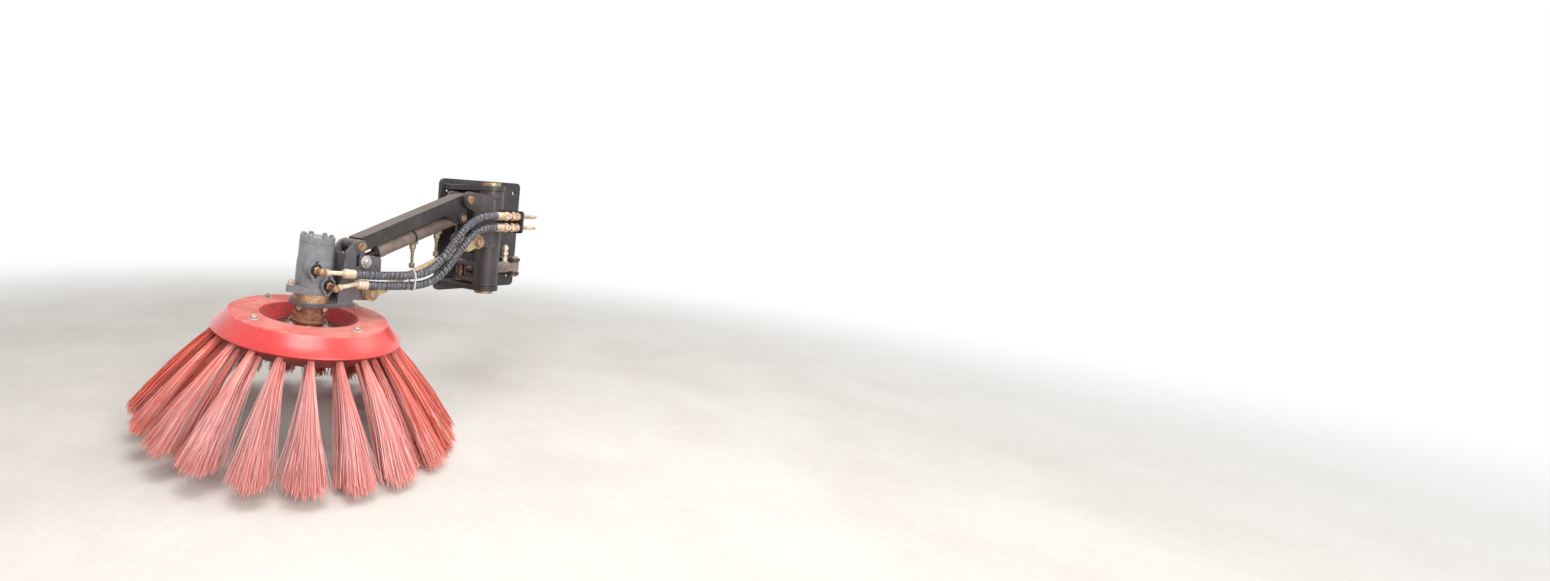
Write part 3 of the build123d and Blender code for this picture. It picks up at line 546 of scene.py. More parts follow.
# %% Bristles in place
# the outer row has the tree's own sizes
tuft_phase = math.radians(-116)
off_floor = 0.0004
row_sizes = {
    "outer": {},
    "inner": dict(
        Seed=41, Root_radius=0.208, Root_height=-0.071, Tip_radius=0.384, Tip_height=-0.290,
        Tip_half_width=0.048,
    ),
}
for name, sizes in row_sizes.items():
    row = grow("bristles_" + name + "_row", brush, bristle_finish, Phase=tuft_phase, **sizes)
    row.data.transform(brush_at)
    for point in row.data.vertices:
        point.co.z = max(point.co.z, floor_z + off_floor)
    settle(row, "brush", "bristle_red", "bristle_tufts")

# %% [markdown]
# ## Bolts
# Bolt heads, washers and nuts are set wherever a list of seats says. A seat is a point and the direction that
# the head faces. The tree builds one bolt from five blocks, a six-sided prism with a shallow cone for its
# chamfer, a washer with its own, and the thread's end, and puts it on every seat.

# %% Bolt tree
bolts, size = new_tree(
    "hex_bolts", "Seats", Across=0.019, Head=0.012, Washer_radius=0.015, Washer=0.003, Thread=0.0
)
corner = size["Across"] * (0.5 / math.cos(math.pi / 6))
flank = size["Head"] * 0.78
edge = size["Washer"] * 0.8
thread_radius = size["Across"] * 0.29
# each block is its sides, radius, taper, foot and depth; what is above the flank and the edge is chamfered
blocks = (
    (6, corner, 1.0, size["Washer"], flank),
    (6, corner, 0.8, size["Washer"] + flank, size["Head"] - flank),
    (24, size["Washer radius"], 1.0, 0.0, edge),
    (24, size["Washer radius"], 0.94, edge, size["Washer"] - edge),
    (12, thread_radius, 1.0, size["Washer"], size["Thread"] + size["Head"]),
)
parts = []
for sides, radius, taper, foot, depth in blocks:
    cone = {"Vertices": sides, "Radius Bottom": radius, "Radius Top": radius * taper, "Depth": depth}
    lift = bolts.node("ShaderNodeCombineXYZ", None, {"Z": foot})
    moved = {"Geometry": bolts.node("GeometryNodeMeshCone", None, cone), "Translation": lift}
    parts.append(bolts.node("GeometryNodeTransform", None, moved))
one = bolts.node("GeometryNodeJoinGeometry", None, {"Geometry": parts})
about_z = bolts.node("ShaderNodeCombineXYZ", None, {"Z": bolts.named("spin")})
spun = bolts.node("FunctionNodeEulerToRotation", None, {"Euler": about_z})
faced = {"Vector": bolts.named("facing", "FLOAT_VECTOR")}
upright = bolts.node("FunctionNodeAlignRotationToVector", {"axis": "Z"}, faced)
both = {"Rotation": upright, "Rotate By": spun}
stood = bolts.node("FunctionNodeRotateRotation", {"rotation_space": "LOCAL"}, both)
on_seats = {"Points": size["Seats"], "Instance": one, "Rotation": stood}
placed = bolts.node("GeometryNodeInstanceOnPoints", None, on_seats)
end_tree(bolts, placed, size["Finish"])


def seats(name, rows):
    """A mesh of points; each row is a place, the direction a head faces and its turn in degrees."""
    places, directions, spins = zip(*rows)
    mesh = mesh_of(name, places)
    faced = mesh.attributes.new("facing", "FLOAT_VECTOR", "POINT")
    faced.data.foreach_set("vector", [x for direction in directions for x in direction])
    spun = mesh.attributes.new("spin", "FLOAT", "POINT")
    spun.data.foreach_set("value", [math.radians(spin) for spin in spins])
    return mesh


def on_brush(radius, degrees, height):
    """A place in the brush's own frame, put where the leaning brush is."""
    turn = math.radians(degrees)
    return brush_at @ Vector((radius * math.cos(turn), radius * math.sin(turn), height))


# %% [markdown]
# ## Finishes
# The real unit is painted steel that has been driven on wet roads: dust lies on what faces up, edges are
# rubbed to bare metal, and grime runs down the sides. On the head's paint the pale edges are also a painted
# highlight. One helper makes such a paint from a few colours, because the layers are the same on each part,
# and another makes plated or bare metal. They read Object coordinates and the surface's own normal, and a
# Bevel node finds the edges.


# %% Paint helpers
def surface(g, edge_radius):
    """A point's place, its normal, the normal with rounded edges, and how far it faces up."""
    normal = g.node("ShaderNodeNewGeometry")["Normal"]
    rounded = g.node("ShaderNodeBevel", {"samples": 6}, {"Radius": edge_radius})
    return g.place(), normal, rounded, g.dot(normal, (0.0, 0.0, 1.0))


def worn_paint(
    name, paint, shade, bare, dust, dust_share, chips=0.5, gloss=0.4, coat=0.0, grain=0.15, scale=1.0
):
    material, g = new_finish(name)
    place, normal, rounded, upward = surface(g, 0.0012)
    edge = 1.0 - g.dot(rounded, normal)
    cloud = g.noise(place, 9.0 * scale, 4.0)
    mottle = g.noise(place, 60.0 * scale, 5.0, 0.65)
    fine = g.noise(place, 420.0, 3.0)
    runs = g.noise(place * (90.0, 90.0, 11.0), 1.0, 4.0, 0.7)
    tone = g.mix(g.band(cloud * 0.6 + mottle * 0.4, 0.35, 0.65), shade, paint)
    washed = g.band(runs + (cloud - 0.5) * 0.5, 0.55, 0.85) * (1.0 - g.band(upward, 0.2, 0.7)) * 0.22
    tone = g.mix(washed, tone, dust)
    # chipped edges; on the head's paint their pale colour is also a painted edge highlight
    chip_and_edge_highlight = g.band(edge + (mottle - 0.5) * 0.3, 0.10, 0.24) * chips
    tone = g.mix(chip_and_edge_highlight, tone, bare)
    settled = g.band(upward + (cloud - 0.5) * 1.2 + (mottle - 0.5) * 0.7, 0.25, 1.0) * dust_share
    tone = g.mix(settled, tone, dust)
    bump = g.bump(mottle * 0.4 + fine * 0.6, grain, 0.0012, rounded)
    rough = gloss + settled * 0.35 + (mottle - 0.5) * 0.2 - chip_and_edge_highlight * 0.08
    end_finish(
        g, Base_Color=tone, Roughness=rough, Metallic=chip_and_edge_highlight * 0.6, Normal=bump,
        Coat_Weight=coat, Coat_Roughness=0.15,
    )
    return material


def plated(name, metal, shade, dust, metallic, rough=0.32, dust_share=0.3):
    """Zinc-plated or bare metal with stains."""
    material, g = new_finish(name)
    place, _, rounded, upward = surface(g, 0.0008)
    cloud = g.noise(place, 38.0, 4.0)
    fine = g.noise(place, 260.0, 4.0, 0.65)
    tone = g.mix(g.band(cloud * 0.5 + fine * 0.5, 0.38, 0.64), shade, metal)
    settled = g.band(upward + (cloud - 0.5) * 1.4, 0.2, 1.0) * dust_share
    tone = g.mix(settled, tone, dust)
    bump = g.bump(fine, 0.12, 0.0008, rounded)
    rough = rough + fine * 0.2 + settled * 0.3
    end_finish(g, Base_Color=tone, Metallic=metallic - settled * 0.6, Roughness=rough, Normal=bump)
    return material


# %% [markdown]
# The cover is painted in the same red as its bristles. Its sloping flange is wiped clean and glossy, its flat
# ring holds a film of pale dust with darker smears, and both rims of the ring are painted lighter, part rubbed
# paint and part painted edge highlight. Its well is darker, with dirt and painted shade. Where each belongs
# follows from the distance to the brush's axis, so the finish measures that first.

# %% Cover finish
def cover_paint():
    material, g = new_finish("cover_red")
    place = g.place()
    offset = place - tuple(ring_centre)
    height = g.dot(offset, tuple(brush_axis))
    radius = g.value("SQRT", g.dot(offset, offset) - height * height)
    cloud = g.noise(place, 7.0, 4.0)
    mottle = g.noise(place, 55.0, 5.0, 0.65)
    smear = g.noise(place * (16.0, 34.0, 20.0), 1.0, 5.0, 0.7)
    ring = g.band(radius, 0.128, 0.134) * (1.0 - g.band(radius, 0.205, 0.213))
    well_dirt_and_shade = 1.0 - g.band(radius, 0.126, 0.133)
    tone = g.mix(g.band(cloud * 0.7 + mottle * 0.3, 0.35, 0.65), srgb(206, 38, 34), srgb(226, 56, 50))
    dusty = g.band(cloud * 0.45 + smear * 0.55, 0.40, 0.62)
    tone = g.mix(ring * (0.18 + dusty * 0.5), tone, srgb(240, 178, 166))
    tone = g.mix(ring * g.band(smear, 0.56, 0.72) * 0.6, tone, srgb(158, 60, 50))
    # the well is painted darker: dirt and painted shade in the recess
    tone = g.mix(well_dirt_and_shade * (0.3 + g.band(mottle * 0.6 + cloud * 0.4, 0.4, 0.62) * 0.45), tone, srgb(104, 24, 22))
    rim = g.band(radius, 0.2045, 0.2095) * (1.0 - g.band(radius, 0.2105, 0.2145))
    lip = g.band(radius, 0.1285, 0.1315) * (1.0 - g.band(radius, 0.1330, 0.1365))
    # rims painted lighter: rubbed paint and a painted edge highlight
    rubbed_and_highlit = g.value("MAXIMUM", rim, lip) * g.band(mottle, 0.35, 0.6)
    tone = g.mix(rubbed_and_highlit * 0.28, tone, srgb(250, 180, 170))
    spots = g.band(g.noise(place, 260.0, 2.0), 0.68, 0.76) * 0.35
    tone = g.mix(spots, tone, srgb(170, 96, 84))
    bump = g.bump(mottle * 0.7 + cloud, 0.12, 0.0008)
    flange = g.band(radius, 0.207, 0.213)
    rough = 0.52 - flange * 0.3 + mottle * 0.1
    end_finish(g, Base_Color=tone, Roughness=rough, Normal=bump, Coat_Weight=flange, Coat_Roughness=0.33)
    return material


# %% Finishes of this unit
road_dust, pale_dust = (168, 150, 138), (226, 206, 194)
painted = {
    "frame_paint": ((70, 63, 64), (48, 43, 44), (128, 104, 90), road_dust, dict(dust_share=0.42)),
    "arm_paint": ((60, 54, 55), (40, 35, 36), (134, 112, 100), road_dust, dict(dust_share=0.4)),
    # its pale bare colour makes the chipped edges also a painted edge highlight
    "head_paint": (
        (106, 102, 107), (78, 73, 77), (196, 188, 186), road_dust, dict(dust_share=0.3, chips=0.7, gloss=0.36)
    ),
    "motor_paint": (
        (136, 139, 144), (112, 112, 117), (198, 198, 202), (170, 162, 155),
        dict(dust_share=0.22, gloss=0.34, coat=0.25, grain=0.22, scale=1.6),
    ),
    "cylinder_paint": (
        (140, 124, 114), (102, 86, 80), (166, 146, 132), (180, 162, 148), dict(dust_share=0.45)
    ),
    "board_red": ((150, 38, 34), (108, 26, 24), (180, 84, 76), road_dust, dict(dust_share=0.15)),
    "hub_iron": (
        (186, 134, 100), (112, 70, 52), (214, 180, 146), road_dust, dict(dust_share=0.3, chips=0.9, gloss=0.3)
    ),
    "well_iron": ((66, 36, 32), (34, 22, 21), (96, 62, 52), (120, 72, 62), dict(dust_share=0.3)),
    "tie_white": (
        (226, 220, 208), (188, 178, 164), (236, 232, 224), road_dust, dict(dust_share=0.3, chips=0.0)
    ),
    "black_rubber": ((30, 28, 29), (18, 17, 18), (60, 56, 55), road_dust, dict(dust_share=0.2, chips=0.1)),
}
bare = {
    "yellow_zinc": ((202, 172, 138), (138, 110, 86), (188, 172, 156), dict(metallic=0.65)),
    "dull_zinc": ((186, 152, 116), (104, 78, 60), (156, 134, 114), dict(metallic=0.6, rough=0.4)),
    "cream_zinc": ((232, 221, 200), (190, 168, 138), (222, 212, 196), dict(metallic=0.3)),
    "elbow_brass": ((206, 168, 128), (120, 86, 62), (190, 168, 146), dict(metallic=0.6, rough=0.34)),
    "olive_zinc": ((172, 160, 134), (104, 92, 74), (176, 164, 142), dict(metallic=0.45, rough=0.4)),
    "rose_zinc": ((236, 212, 186), (170, 136, 108), (220, 202, 184), dict(metallic=0.55, rough=0.28)),
    "bright_steel": ((220, 214, 208), (172, 162, 154), (214, 202, 190), dict(metallic=0.7)),
    "dusty_steel": (
        (206, 186, 172), (150, 120, 106), pale_dust, dict(metallic=0.5, rough=0.45, dust_share=0.65)
    ),
    "rod_chrome": ((112, 88, 80), (70, 52, 46), (130, 108, 96), dict(metallic=0.8, rough=0.22)),
    "khaki_rod": ((214, 196, 158), (170, 146, 110), (206, 192, 170), dict(metallic=0.35, rough=0.4)),
}
finishes = {"cover_red": cover_paint()}
for helper, table in ((worn_paint, painted), (plated, bare)):
    for name, (*colours, settings) in table.items():
        finishes[name] = helper(name, *(srgb(*colour) for colour in colours), **settings)

# %% [markdown]
# Each CAD node takes the finish of its slot in the part's record, apart from three that get a tone of their
# own.

# %% Finishes on the CAD nodes
finish_of_node = {"hub_plate": "well_iron", "tie_rod": "khaki_rod", "chassis_bracket": "arm_paint"}
slot_of = {part["node"]: part["material_slot"] for part in frame["record"]["subparts"]}
dressed = {name: finish_of_node.get(name, slot_of[name]) for name in nodes}
dressed = {name: finish for name, finish in dressed.items() if finish in finishes}
for name, finish in dressed.items():
    for part in nodes[name].material_slots:
        part.material = finishes[finish]
print("slots:", sorted(set(slot_of.values())), "nodes with a finish:", len(dressed))

# %% [markdown]
# The cover's four bolts and the hub's six are real heads here, each turned its own way, with a thread showing
# above. The motor has six small screws in its end cover and one bolt in each ear of its flange, and four
# nuts show below the bracket's base.

# %% Bolts in place
def set_bolts(name, rows, finish, slot, body, *replaced, **sizes):
    piece = grow(name, bolts, finishes[finish], seats(name + "_seats", rows), **sizes)
    settle(piece, body, slot, *replaced)


def bolt_circle(radius, height, first, count=1, twist=0, start=0):
    """Seats round the brush's axis that face up; each head is turned by a twist more than the last."""
    up = tuple(brush_axis)
    turns = [first + 360 / count * n for n in range(count)]
    return [(on_brush(radius, turn, height), up, start + twist * n) for n, turn in enumerate(turns)]


set_bolts(
    "cover_bolt_heads", bolt_circle(radius=0.178, height=0.0, first=13, count=4, twist=41, start=17),
    "dusty_steel", "yellow_zinc", "brush", "cover_bolts",
    Across=0.015, Head=0.007, Washer_radius=0.0135, Washer=0.002, Thread=0.003,
)
set_bolts(
    "hub_bolt_heads", bolt_circle(radius=0.052, height=-0.033, first=3, count=6, twist=23),
    "dusty_steel", "yellow_zinc", "brush", "hub_bolts",
    Across=0.015, Head=0.008, Washer_radius=0.0098, Washer=0.0015, Thread=0.002,
)
set_bolts(
    "motor_cover_screws", bolt_circle(radius=0.036, height=0.205, first=30, count=6, twist=13),
    "motor_paint", "motor_paint", "head", Across=0.012, Head=0.006, Washer_radius=0.0085, Washer=0.0015,
)
ear_top, base_foot = 0.077, 0.027
ears = bolt_circle(0.0615, ear_top, first=180, start=10) + bolt_circle(0.0575, ear_top, first=0, start=35)
set_bolts(
    "motor_ear_bolts", ears, "dusty_steel", "bright_steel", "head",
    Across=0.017, Head=0.009, Washer_radius=0.0115, Washer=0.002, Thread=0.002,
)
below = tuple(-brush_axis)
under = [(on_brush(0.047, turn, base_foot), below, 15 * n) for n, turn in enumerate((205, 25, 115, 295))]
set_bolts(
    "motor_nuts", under, "rose_zinc", "bright_steel", "head",
    Across=0.014, Head=0.008, Washer_radius=0.0095, Washer=0.0015, Thread=0.003,
)

# %% [markdown]
# ## Turned parts
# The cover is pressed from one disc of sheet, and hubs, pins, nuts and hose ferrules come off a lathe or out of
# hexagon bar. Blender's Spin tool would do it by hand. Here a small class turns a section, a list of radii
# and heights in millimetres, round an axis in as many sides as the part has, six for a nut, and collects such
# parts until they make one piece. The CAD nodes are hidden, and these pieces stand for them in the picture.


# %% A lathe
# a hexagon's corners lie this much further out than its flats
to_corner = 1 / math.cos(math.pi / 6)


def facing(place, direction):
    """A frame at a place whose Z points where the part faces."""
    return Matrix.Translation(place) @ Vector(direction).to_track_quat("Z", "Y").to_matrix().to_4x4()


class Stock:
    """Turned parts that make one piece."""

    def __init__(self):
        self.points, self.faces = [], []

    def turned(self, at, section, sides=36, closed=False):
        """Turns a section that runs from the lower end round the outside to the upper end."""
        rings = []
        for radius, height in section:
            first = len(self.points)
            turns = range(sides) if radius else [0]
            for n in turns:
                turn = 2 * math.pi * (n + 0.5) / sides
                place = (radius * math.cos(turn), radius * math.sin(turn), height)
                self.points.append(at @ (Vector(place) / 1000))
            rings.append([first + n if radius else first for n in range(sides)])
        pairs = list(zip(rings, rings[1:]))
        if closed:
            pairs.append((rings[-1], rings[0]))
        for low, high in pairs:
            for n in range(sides):
                m = (n + 1) % sides
                face = list(dict.fromkeys((low[n], low[m], high[m], high[n])))
                if len(face) > 2:
                    self.faces.append(face)

    def bar(self, at, *rows, sides=36):
        """Round bars with chamfered ends; a row is a radius, a low and a high end, and a bevel."""
        for radius, low, high, bevel in rows:
            low_end = [(0, low), (radius - bevel, low), (radius, low + bevel)]
            self.turned(at, [*low_end, (radius, high - bevel), (radius - bevel, high), (0, high)], sides)

    def nut(self, at, *rows):
        """Hexagons; a row is half the width across flats, a low and a high end, and a bevel."""
        self.bar(at, *((half * to_corner, *ends) for half, *ends in rows), sides=6)

    def piece(self, name, finish, slot, body, *replaced):
        mesh = mesh_of(name, self.points, faces=self.faces)
        mesh.materials.append(finishes[finish])
        mesh.shade_smooth()
        mesh.set_sharp_from_angle(angle=0.6)
        settle(in_scene(name, mesh), body, slot, *replaced)
        print(name, len(mesh.polygons), "faces")


# %% [markdown]
# The cover's edges are rounded where the press bent the sheet, its well is dished down to the hub plate, and
# years of kerbs have left it slightly out of true, which a little noise on its heights gives.

# %% Cover
cover = Stock()
section = [
    (132, -46), (136, -46), (136, -4.2), (208.3, -4.2), (246.7, -45.4), (248.2, -45.6), (249.6, -44.4),
    (250, -42.8), (249.4, -41.4), (231, -22.6), (213.4, -3.7), (211.6, -1.9), (209.4, -0.6), (206.4, 0),
    (171, 0), (137, 0), (134, -0.4), (131.4, -1.6), (129.2, -3.4), (111, -18.6), (95, -33.2), (92.8, -35.4),
    (91, -36.9), (132, -36.9),
]
cover.turned(brush_at, section, sides=144, closed=True)
well_radius, well_share, most_rise = 0.1315, 0.3, 0.0006
for n, point in enumerate(cover.points):
    wave = noise.noise(point * 9.0) * 0.0011 + noise.noise(point * 31.0) * 0.00035
    share = well_share if (brush_at.inverted() @ point).xy.length < well_radius else 1.0
    cover.points[n] = point + brush_axis * min(wave, most_rise) * share
cover.piece("cover_shell", "cover_red", "cover_red", "brush", "brush_cover")

# %% Hub
hub = Stock()
section = [
    (16.2, -37), (62, -37), (62, -33.8), (61.2, -33), (36, -33), (34.4, -31.6), (34, -20), (36, -18.4),
    (45.9, -18.4), (46.5, -17.8), (46.5, -13.4), (45.9, -12.8), (42.6, -12.6), (42.6, 1.4), (42, 2),
    (38.6, 2.2), (38.6, 12), (41, 12.4), (41, 23.4), (40.4, 24), (16.2, 24),
]
hub.turned(brush_at, section, sides=64, closed=True)
hub.piece("hub_drum", "hub_iron", "hub_iron", "brush", "drive_hub")

# %% [markdown]
# ## Hose ends
# A hose ends in a steel ferrule that a press has crimped in rings. At the motor a forged elbow screws into
# each port and a thin pipe leads from it to the ferrule. At the rear each ferrule meets a swivel nut and a
# union that passes through the bulkhead. All are plated, and age has given each its own tone: brown on the
# elbows, cream on the pipes and rose on the unions.

# %% Ferrules, elbows and unions
ferrule = [(0, 0), (8.6, 0), (9.6, 1.0), (9.6, 2.6), (8.4, 3.2), (8.4, 4.2), (11.6, 5.0), (12.4, 6.2)]
for ring in (11, 18, 25):
    ferrule += [(12.4, ring), (11.4, ring + 1), (11.4, ring + 2.6), (12.4, ring + 3.6)]
ferrule += [(12.4, 34.8), (11.4, 36), (0, 36)]
ferrule_length = 0.036
# the seal rings are wider than real seals, so their black rubber is also a painted shade round each port
seal_and_shade_ring = [(7.6, 0), (16, 0), (16, 1.6), (14.6, 2.8), (7.6, 2.8)]
port_out, port_face = -brush_back, -0.062
port_places = {"a": (-0.029, 0.128), "b": (0.012, 0.088)}
seals_and_shade = Stock()
for letter, (across, height) in port_places.items():
    port = brush_at @ Vector((across, port_face, height))
    start, after = (route_place(*point) for point in hose_routes[letter][:2])
    heading = (after - start).normalized()
    back = start - heading * ferrule_length
    neck = (hose_y - port.y) / port_out.y
    bend = port + port_out * neck
    out_at, pipe_at = facing(port, port_out), facing(bend, back - bend)
    reach, pipe = neck * 1000, (back - bend).length * 1000
    elbow = Stock()
    elbow.nut(out_at, (9, 2.6, 9, 1.4))
    elbow.bar(out_at, (7.2, 0, reach, 0.8), (3.4, reach + 8, reach + 10.4, 0.8))
    elbow.bar(out_at, (9.2, reach - 10, reach + 9, 2.6), sides=24)
    elbow.bar(pipe_at, (7.6, 0, 12, 1.2), sides=24)
    elbow.piece("motor_elbow_" + letter, "elbow_brass", "cream_zinc", "head", "motor_fitting_" + letter)
    leader = Stock()
    leader.nut(pipe_at, (7.4, 10, 18, 1.2))
    leader.bar(pipe_at, (5.8, 16, pipe + 2, 0.6))
    leader.turned(facing(back, heading), ferrule)
    leader.piece("motor_leader_" + letter, "cream_zinc", "cream_zinc", "head", "motor_fitting_" + letter)
    seals_and_shade.turned(out_at, seal_and_shade_ring, sides=32, closed=True)
seals_and_shade.piece("port_seals", "black_rubber", "hose_rubber", "head")
to_rear = Vector((1, 0, 0))
for letter, route in hose_routes.items():
    hose_end = route_place(*route[-1])
    union_at = facing(hose_end, to_rear)
    union = Stock()
    union.turned(facing(hose_end + to_rear * ferrule_length, -to_rear), ferrule)
    union.nut(union_at, (12, 35.4, 53, 2.2), (12, 65, 80, 2.2))
    union.nut(union_at, (11.4, 87, 96.4, 1.4), (11.4, 103.6, 112, 1.4))
    union.bar(union_at, (10, 52, 56, 0.8), (7.4, 55, 66, 0.4), (9, 80, 118, 1.0), (5.8, 116, 176, 1.0))
    union.piece("bulkhead_union_" + letter, "rose_zinc", "cream_zinc", "turret", "hose_union_" + letter)

# %% [markdown]
# ## Pins
# The parallelogram turns on four pins, which have a turned head with a grease hole on the outboard side. The
# lift cylinder has two more, a bolt with its nut and a plain one. At three of the six a raised ring is welded
# to the cheek. Heights in a pin's section are distances outboard of the arm's middle plane, as in the CAD.

# %% Pins and their rings
arm_y = -0.161
outboard = Vector((0, -1, 0))
pin_places = {
    "arm_pin_head": (-0.619, -0.016), "arm_pin_rear": (-0.238, 0.120), "tie_pin_head": (-0.593, -0.140),
    "tie_pin_rear": (-0.212, -0.004), "lift_pin_head": (-0.602, -0.057), "lift_pin_rear": (-0.252, 0.064),
}
pin_at = {node: facing((x, arm_y, z), outboard) for node, (x, z) in pin_places.items()}
tail = [(0, -49), (13, -49), (15, -47), (15, -41), (12, -41)]
arm_end = [
    (12, 41), (13, 41), (13, 46.6), (11.8, 48.4), (5.4, 49), (4.6, 47.8), (2.2, 47.6), (1.6, 49.6), (0, 49.9)
]
tie_end = [
    (0, 69), (13.6, 69), (13.6, 74.4), (12.2, 76), (5.8, 76.4), (5, 75), (2.2, 74.8), (1.8, 77.4), (0, 78)
]
for node, body in (("arm_pin_head", "head"), ("arm_pin_rear", "turret")):
    pin = Stock()
    pin.turned(pin_at[node], [*tail, *arm_end])
    pin.piece(node + "_turned", "dull_zinc", "yellow_zinc", body, node)
for node, body in (("tie_pin_head", "head"), ("tie_pin_rear", "turret")):
    pin = Stock()
    pin.turned(pin_at[node], [*tail, (12, 68), (0, 68)])
    pin.bar(pin_at[node], (16, 41, 43, 0.5), (17.5, 66.4, 69.4, 0.8))
    pin.turned(pin_at[node], tie_end)
    pin.piece(node + "_turned", "yellow_zinc", "yellow_zinc", body, node)
at, pin = pin_at["lift_pin_head"], Stock()
pin.turned(at, [(0, -49), (12, -49), (14, -47), (14, -41), (10, -41), (10, 41), (0, 41)])
pin.bar(at, (14, -31, -17.5, 0.5), (14, 17.5, 31, 0.5), (17, 41, 44.6, 0.9), (6, 50, 53, 1.0))
pin.nut(at, (10, 44.6, 51, 1.4))
pin.piece("lift_pin_head_turned", "bright_steel", "bright_steel", "head", "lift_pin_head")
at, pin = pin_at["lift_pin_rear"], Stock()
pin.turned(at, [(0, -36), (12, -36), (14, -34), (14, -30), (10, -30), (10, 36.6), (8.6, 38), (0, 38)])
pin.piece("lift_pin_rear_turned", "dull_zinc", "yellow_zinc", "arm", "lift_pin_rear")
# each ring's node, body, paint, inner and outer radius, and the heights that it lies between
ring_rows = (
    ("arm_pin_head", "head", "head_paint", 13.2, 18, 41, 44.2),
    ("arm_pin_rear", "turret", "frame_paint", 13.2, 21, 41, 45),
    ("lift_pin_rear", "arm", "arm_paint", 10.2, 17, 30, 34.4),
)
for node, body, paint, inner, outer, low, high in ring_rows:
    boss = Stock()
    outside = [(inner, low), (outer, low), (outer, high - 1.2), (outer - 1.2, high)]
    boss.turned(pin_at[node], [*outside, (inner + 0.8, high), (inner, high - 0.8)], sides=40, closed=True)
    boss.piece(node + "_ring", paint, paint, body)

# %% [markdown]
# ## Cylinders
# On the lift barrel a seal, the gland and one band stand proud. Both cylinders have two ports, stacks of
# small hexagon fittings with a pipe, so bars and nuts again.

# %% Glands and ports
lift_eye, lift_base = (pin_at["lift_pin_" + end].translation for end in ("head", "rear"))
lift_way = (lift_base - lift_eye).normalized()
lift_at = facing(lift_eye, lift_way)
gland = Stock()
for section in (
    [(10.4, 55), (13, 55), (13.6, 56), (13.6, 60), (10.4, 60)],
    [(17.8, 59), (19.4, 60), (19.4, 65), (18.6, 66), (17.8, 66)],
    [(17.6, 194), (19, 194.8), (19, 201), (17.6, 202)],
):
    gland.turned(lift_at, section, closed=True)
gland.piece("lift_gland", "black_rubber", "cylinder_paint", "lift_barrel")
ports = Stock()
for run, drop in ((200, 92), (294, 90)):
    foot = lift_eye + lift_way * (run / 1000)
    port_at = facing(foot, (0, 0, -1))
    ports.bar(facing(foot, (lift_way.z, 0, -lift_way.x)), (10, 15.6, 24, 1.2))
    ports.bar(port_at, (6.4, 36, 46, 0.8), (4.6, 40, drop, 0.6))
    ports.nut(port_at, (8.5, 22, 37, 1.6), (7.4, drop - 14, drop, 1.4))
ports.piece("lift_port_fittings", "olive_zinc", "cream_zinc", "lift_barrel", "lift_ports")
swing_eye = Vector((-0.125, -0.060, -0.110))
swing_way = (Vector((0.140, -0.055, -0.110)) - swing_eye).normalized()
ports = Stock()
for run in (157, 216):
    port_at = facing(swing_eye + swing_way * (run / 1000), (0, 0, 1))
    ports.bar(port_at, (10, 18, 34, 1.4), (7, 32, 78, 1.0))
    ports.nut(port_at, (9.5, 42, 54, 1.4), (9.5, 60, 72, 1.4))
ports.piece("swing_port_fittings", "cream_zinc", "cream_zinc", "swing_barrel", "swing_ports")
tie_place = (ring_centre.x + 0.262, hose_y - 0.0135, -0.098)
hose_tie = Stock()
hose_tie.bar(facing(tie_place, (0, 0, 1)), (3.4, -4, 4, 1.0), sides=4)
hose_tie.piece("hose_tie_head", "tie_white", "tie_white", "arm")

# %% [markdown]
# ## Welds
# The frame is welded from plate. A weld is a row of overlapping ripples that lies in a corner. Modelled by
# hand it would take an evening, so the tree follows a line, swells along it at the pace of a welder's hand
# and roughens it with noise.

# %% Weld tree
welds, size = new_tree("weld_bead", "Line", Bead=0.0032, Ripple=0.0034, Sides=7)
line = welds.stepped(size["Line"], size["Ripple"] * 0.25)
far = welds.node("GeometryNodeSplineParameter")["Length"]
ripple = welds.value("ABSOLUTE", welds.value("SINE", far * math.pi / size["Ripple"]))
lumps = welds.noise(welds.node("GeometryNodeInputPosition"), 110.0)
swell = size["Bead"] * (0.62 + ripple * 0.2 + lumps * 0.4)
end_tree(welds, welds.swept(line, welds.circle(size["Sides"]), swell), size["Finish"])


# %% Welds in place
def weld(name, finish, body, lines, loop=False):
    """Beads along lines of places in metres; a loop closes on itself."""
    points, edges = [], []
    for places in lines:
        first = len(points)
        points += [tuple(place) for place in places]
        edges += [(n, n + 1) for n in range(first, len(points) - 1)]
        if loop:
            edges.append((len(points) - 1, first))
    piece = grow(name, welds, finishes[finish], mesh_of(name + "_line", points, edges))
    settle(piece, body, finish)


def straight(*ends):
    """A line between two places in mm."""
    return [tuple(x / 1000 for x in end) for end in ends]


plate_face = -13
plate_lines = [straight((-175, plate_face, z), (-25, plate_face, z)) for z in (166, 151, -151, -166)]
plate_lines += [straight((x, plate_face, -54), (x, plate_face, 150)) for x in (-106.5, -93.5)]
plate_lines += [straight((102, plate_face, z), (178, plate_face, z)) for z in (-80, -90, -130, -140)]
weld("plate_welds", "arm_paint", "chassis_side", plate_lines)
tube_lines = [straight((x, y, 26), (x, y, 92)) for x, y in ((-73.8, -182.8), (-67.2, -176.8))]
tube_lines += [straight((-138, y, -13), (-138, y, 127)) for y in (-168.5, -131.5)]
tube_x, tube_y, tube_radius = -0.1, -0.15, 0.0425
turns = [math.radians(48 + 10 * n) for n in range(12)]
round_tube = [(tube_x + tube_radius * math.cos(t), tube_y + tube_radius * math.sin(t)) for t in turns]
tube_lines += [[(x, y, z / 1000) for x, y in round_tube] for z in (-79.5, -90.5, -129.5, -140.5)]
weld("tube_welds", "frame_paint", "turret", tube_lines)
base_height = 0.037


def base_top(x, y):
    """A place on the leaning base plate's upper face."""
    offset = base_height - (x - ring_centre.x) * brush_axis.x - (y - ring_centre.y) * brush_axis.y
    return (x, y, ring_centre.z + offset / brush_axis.z)


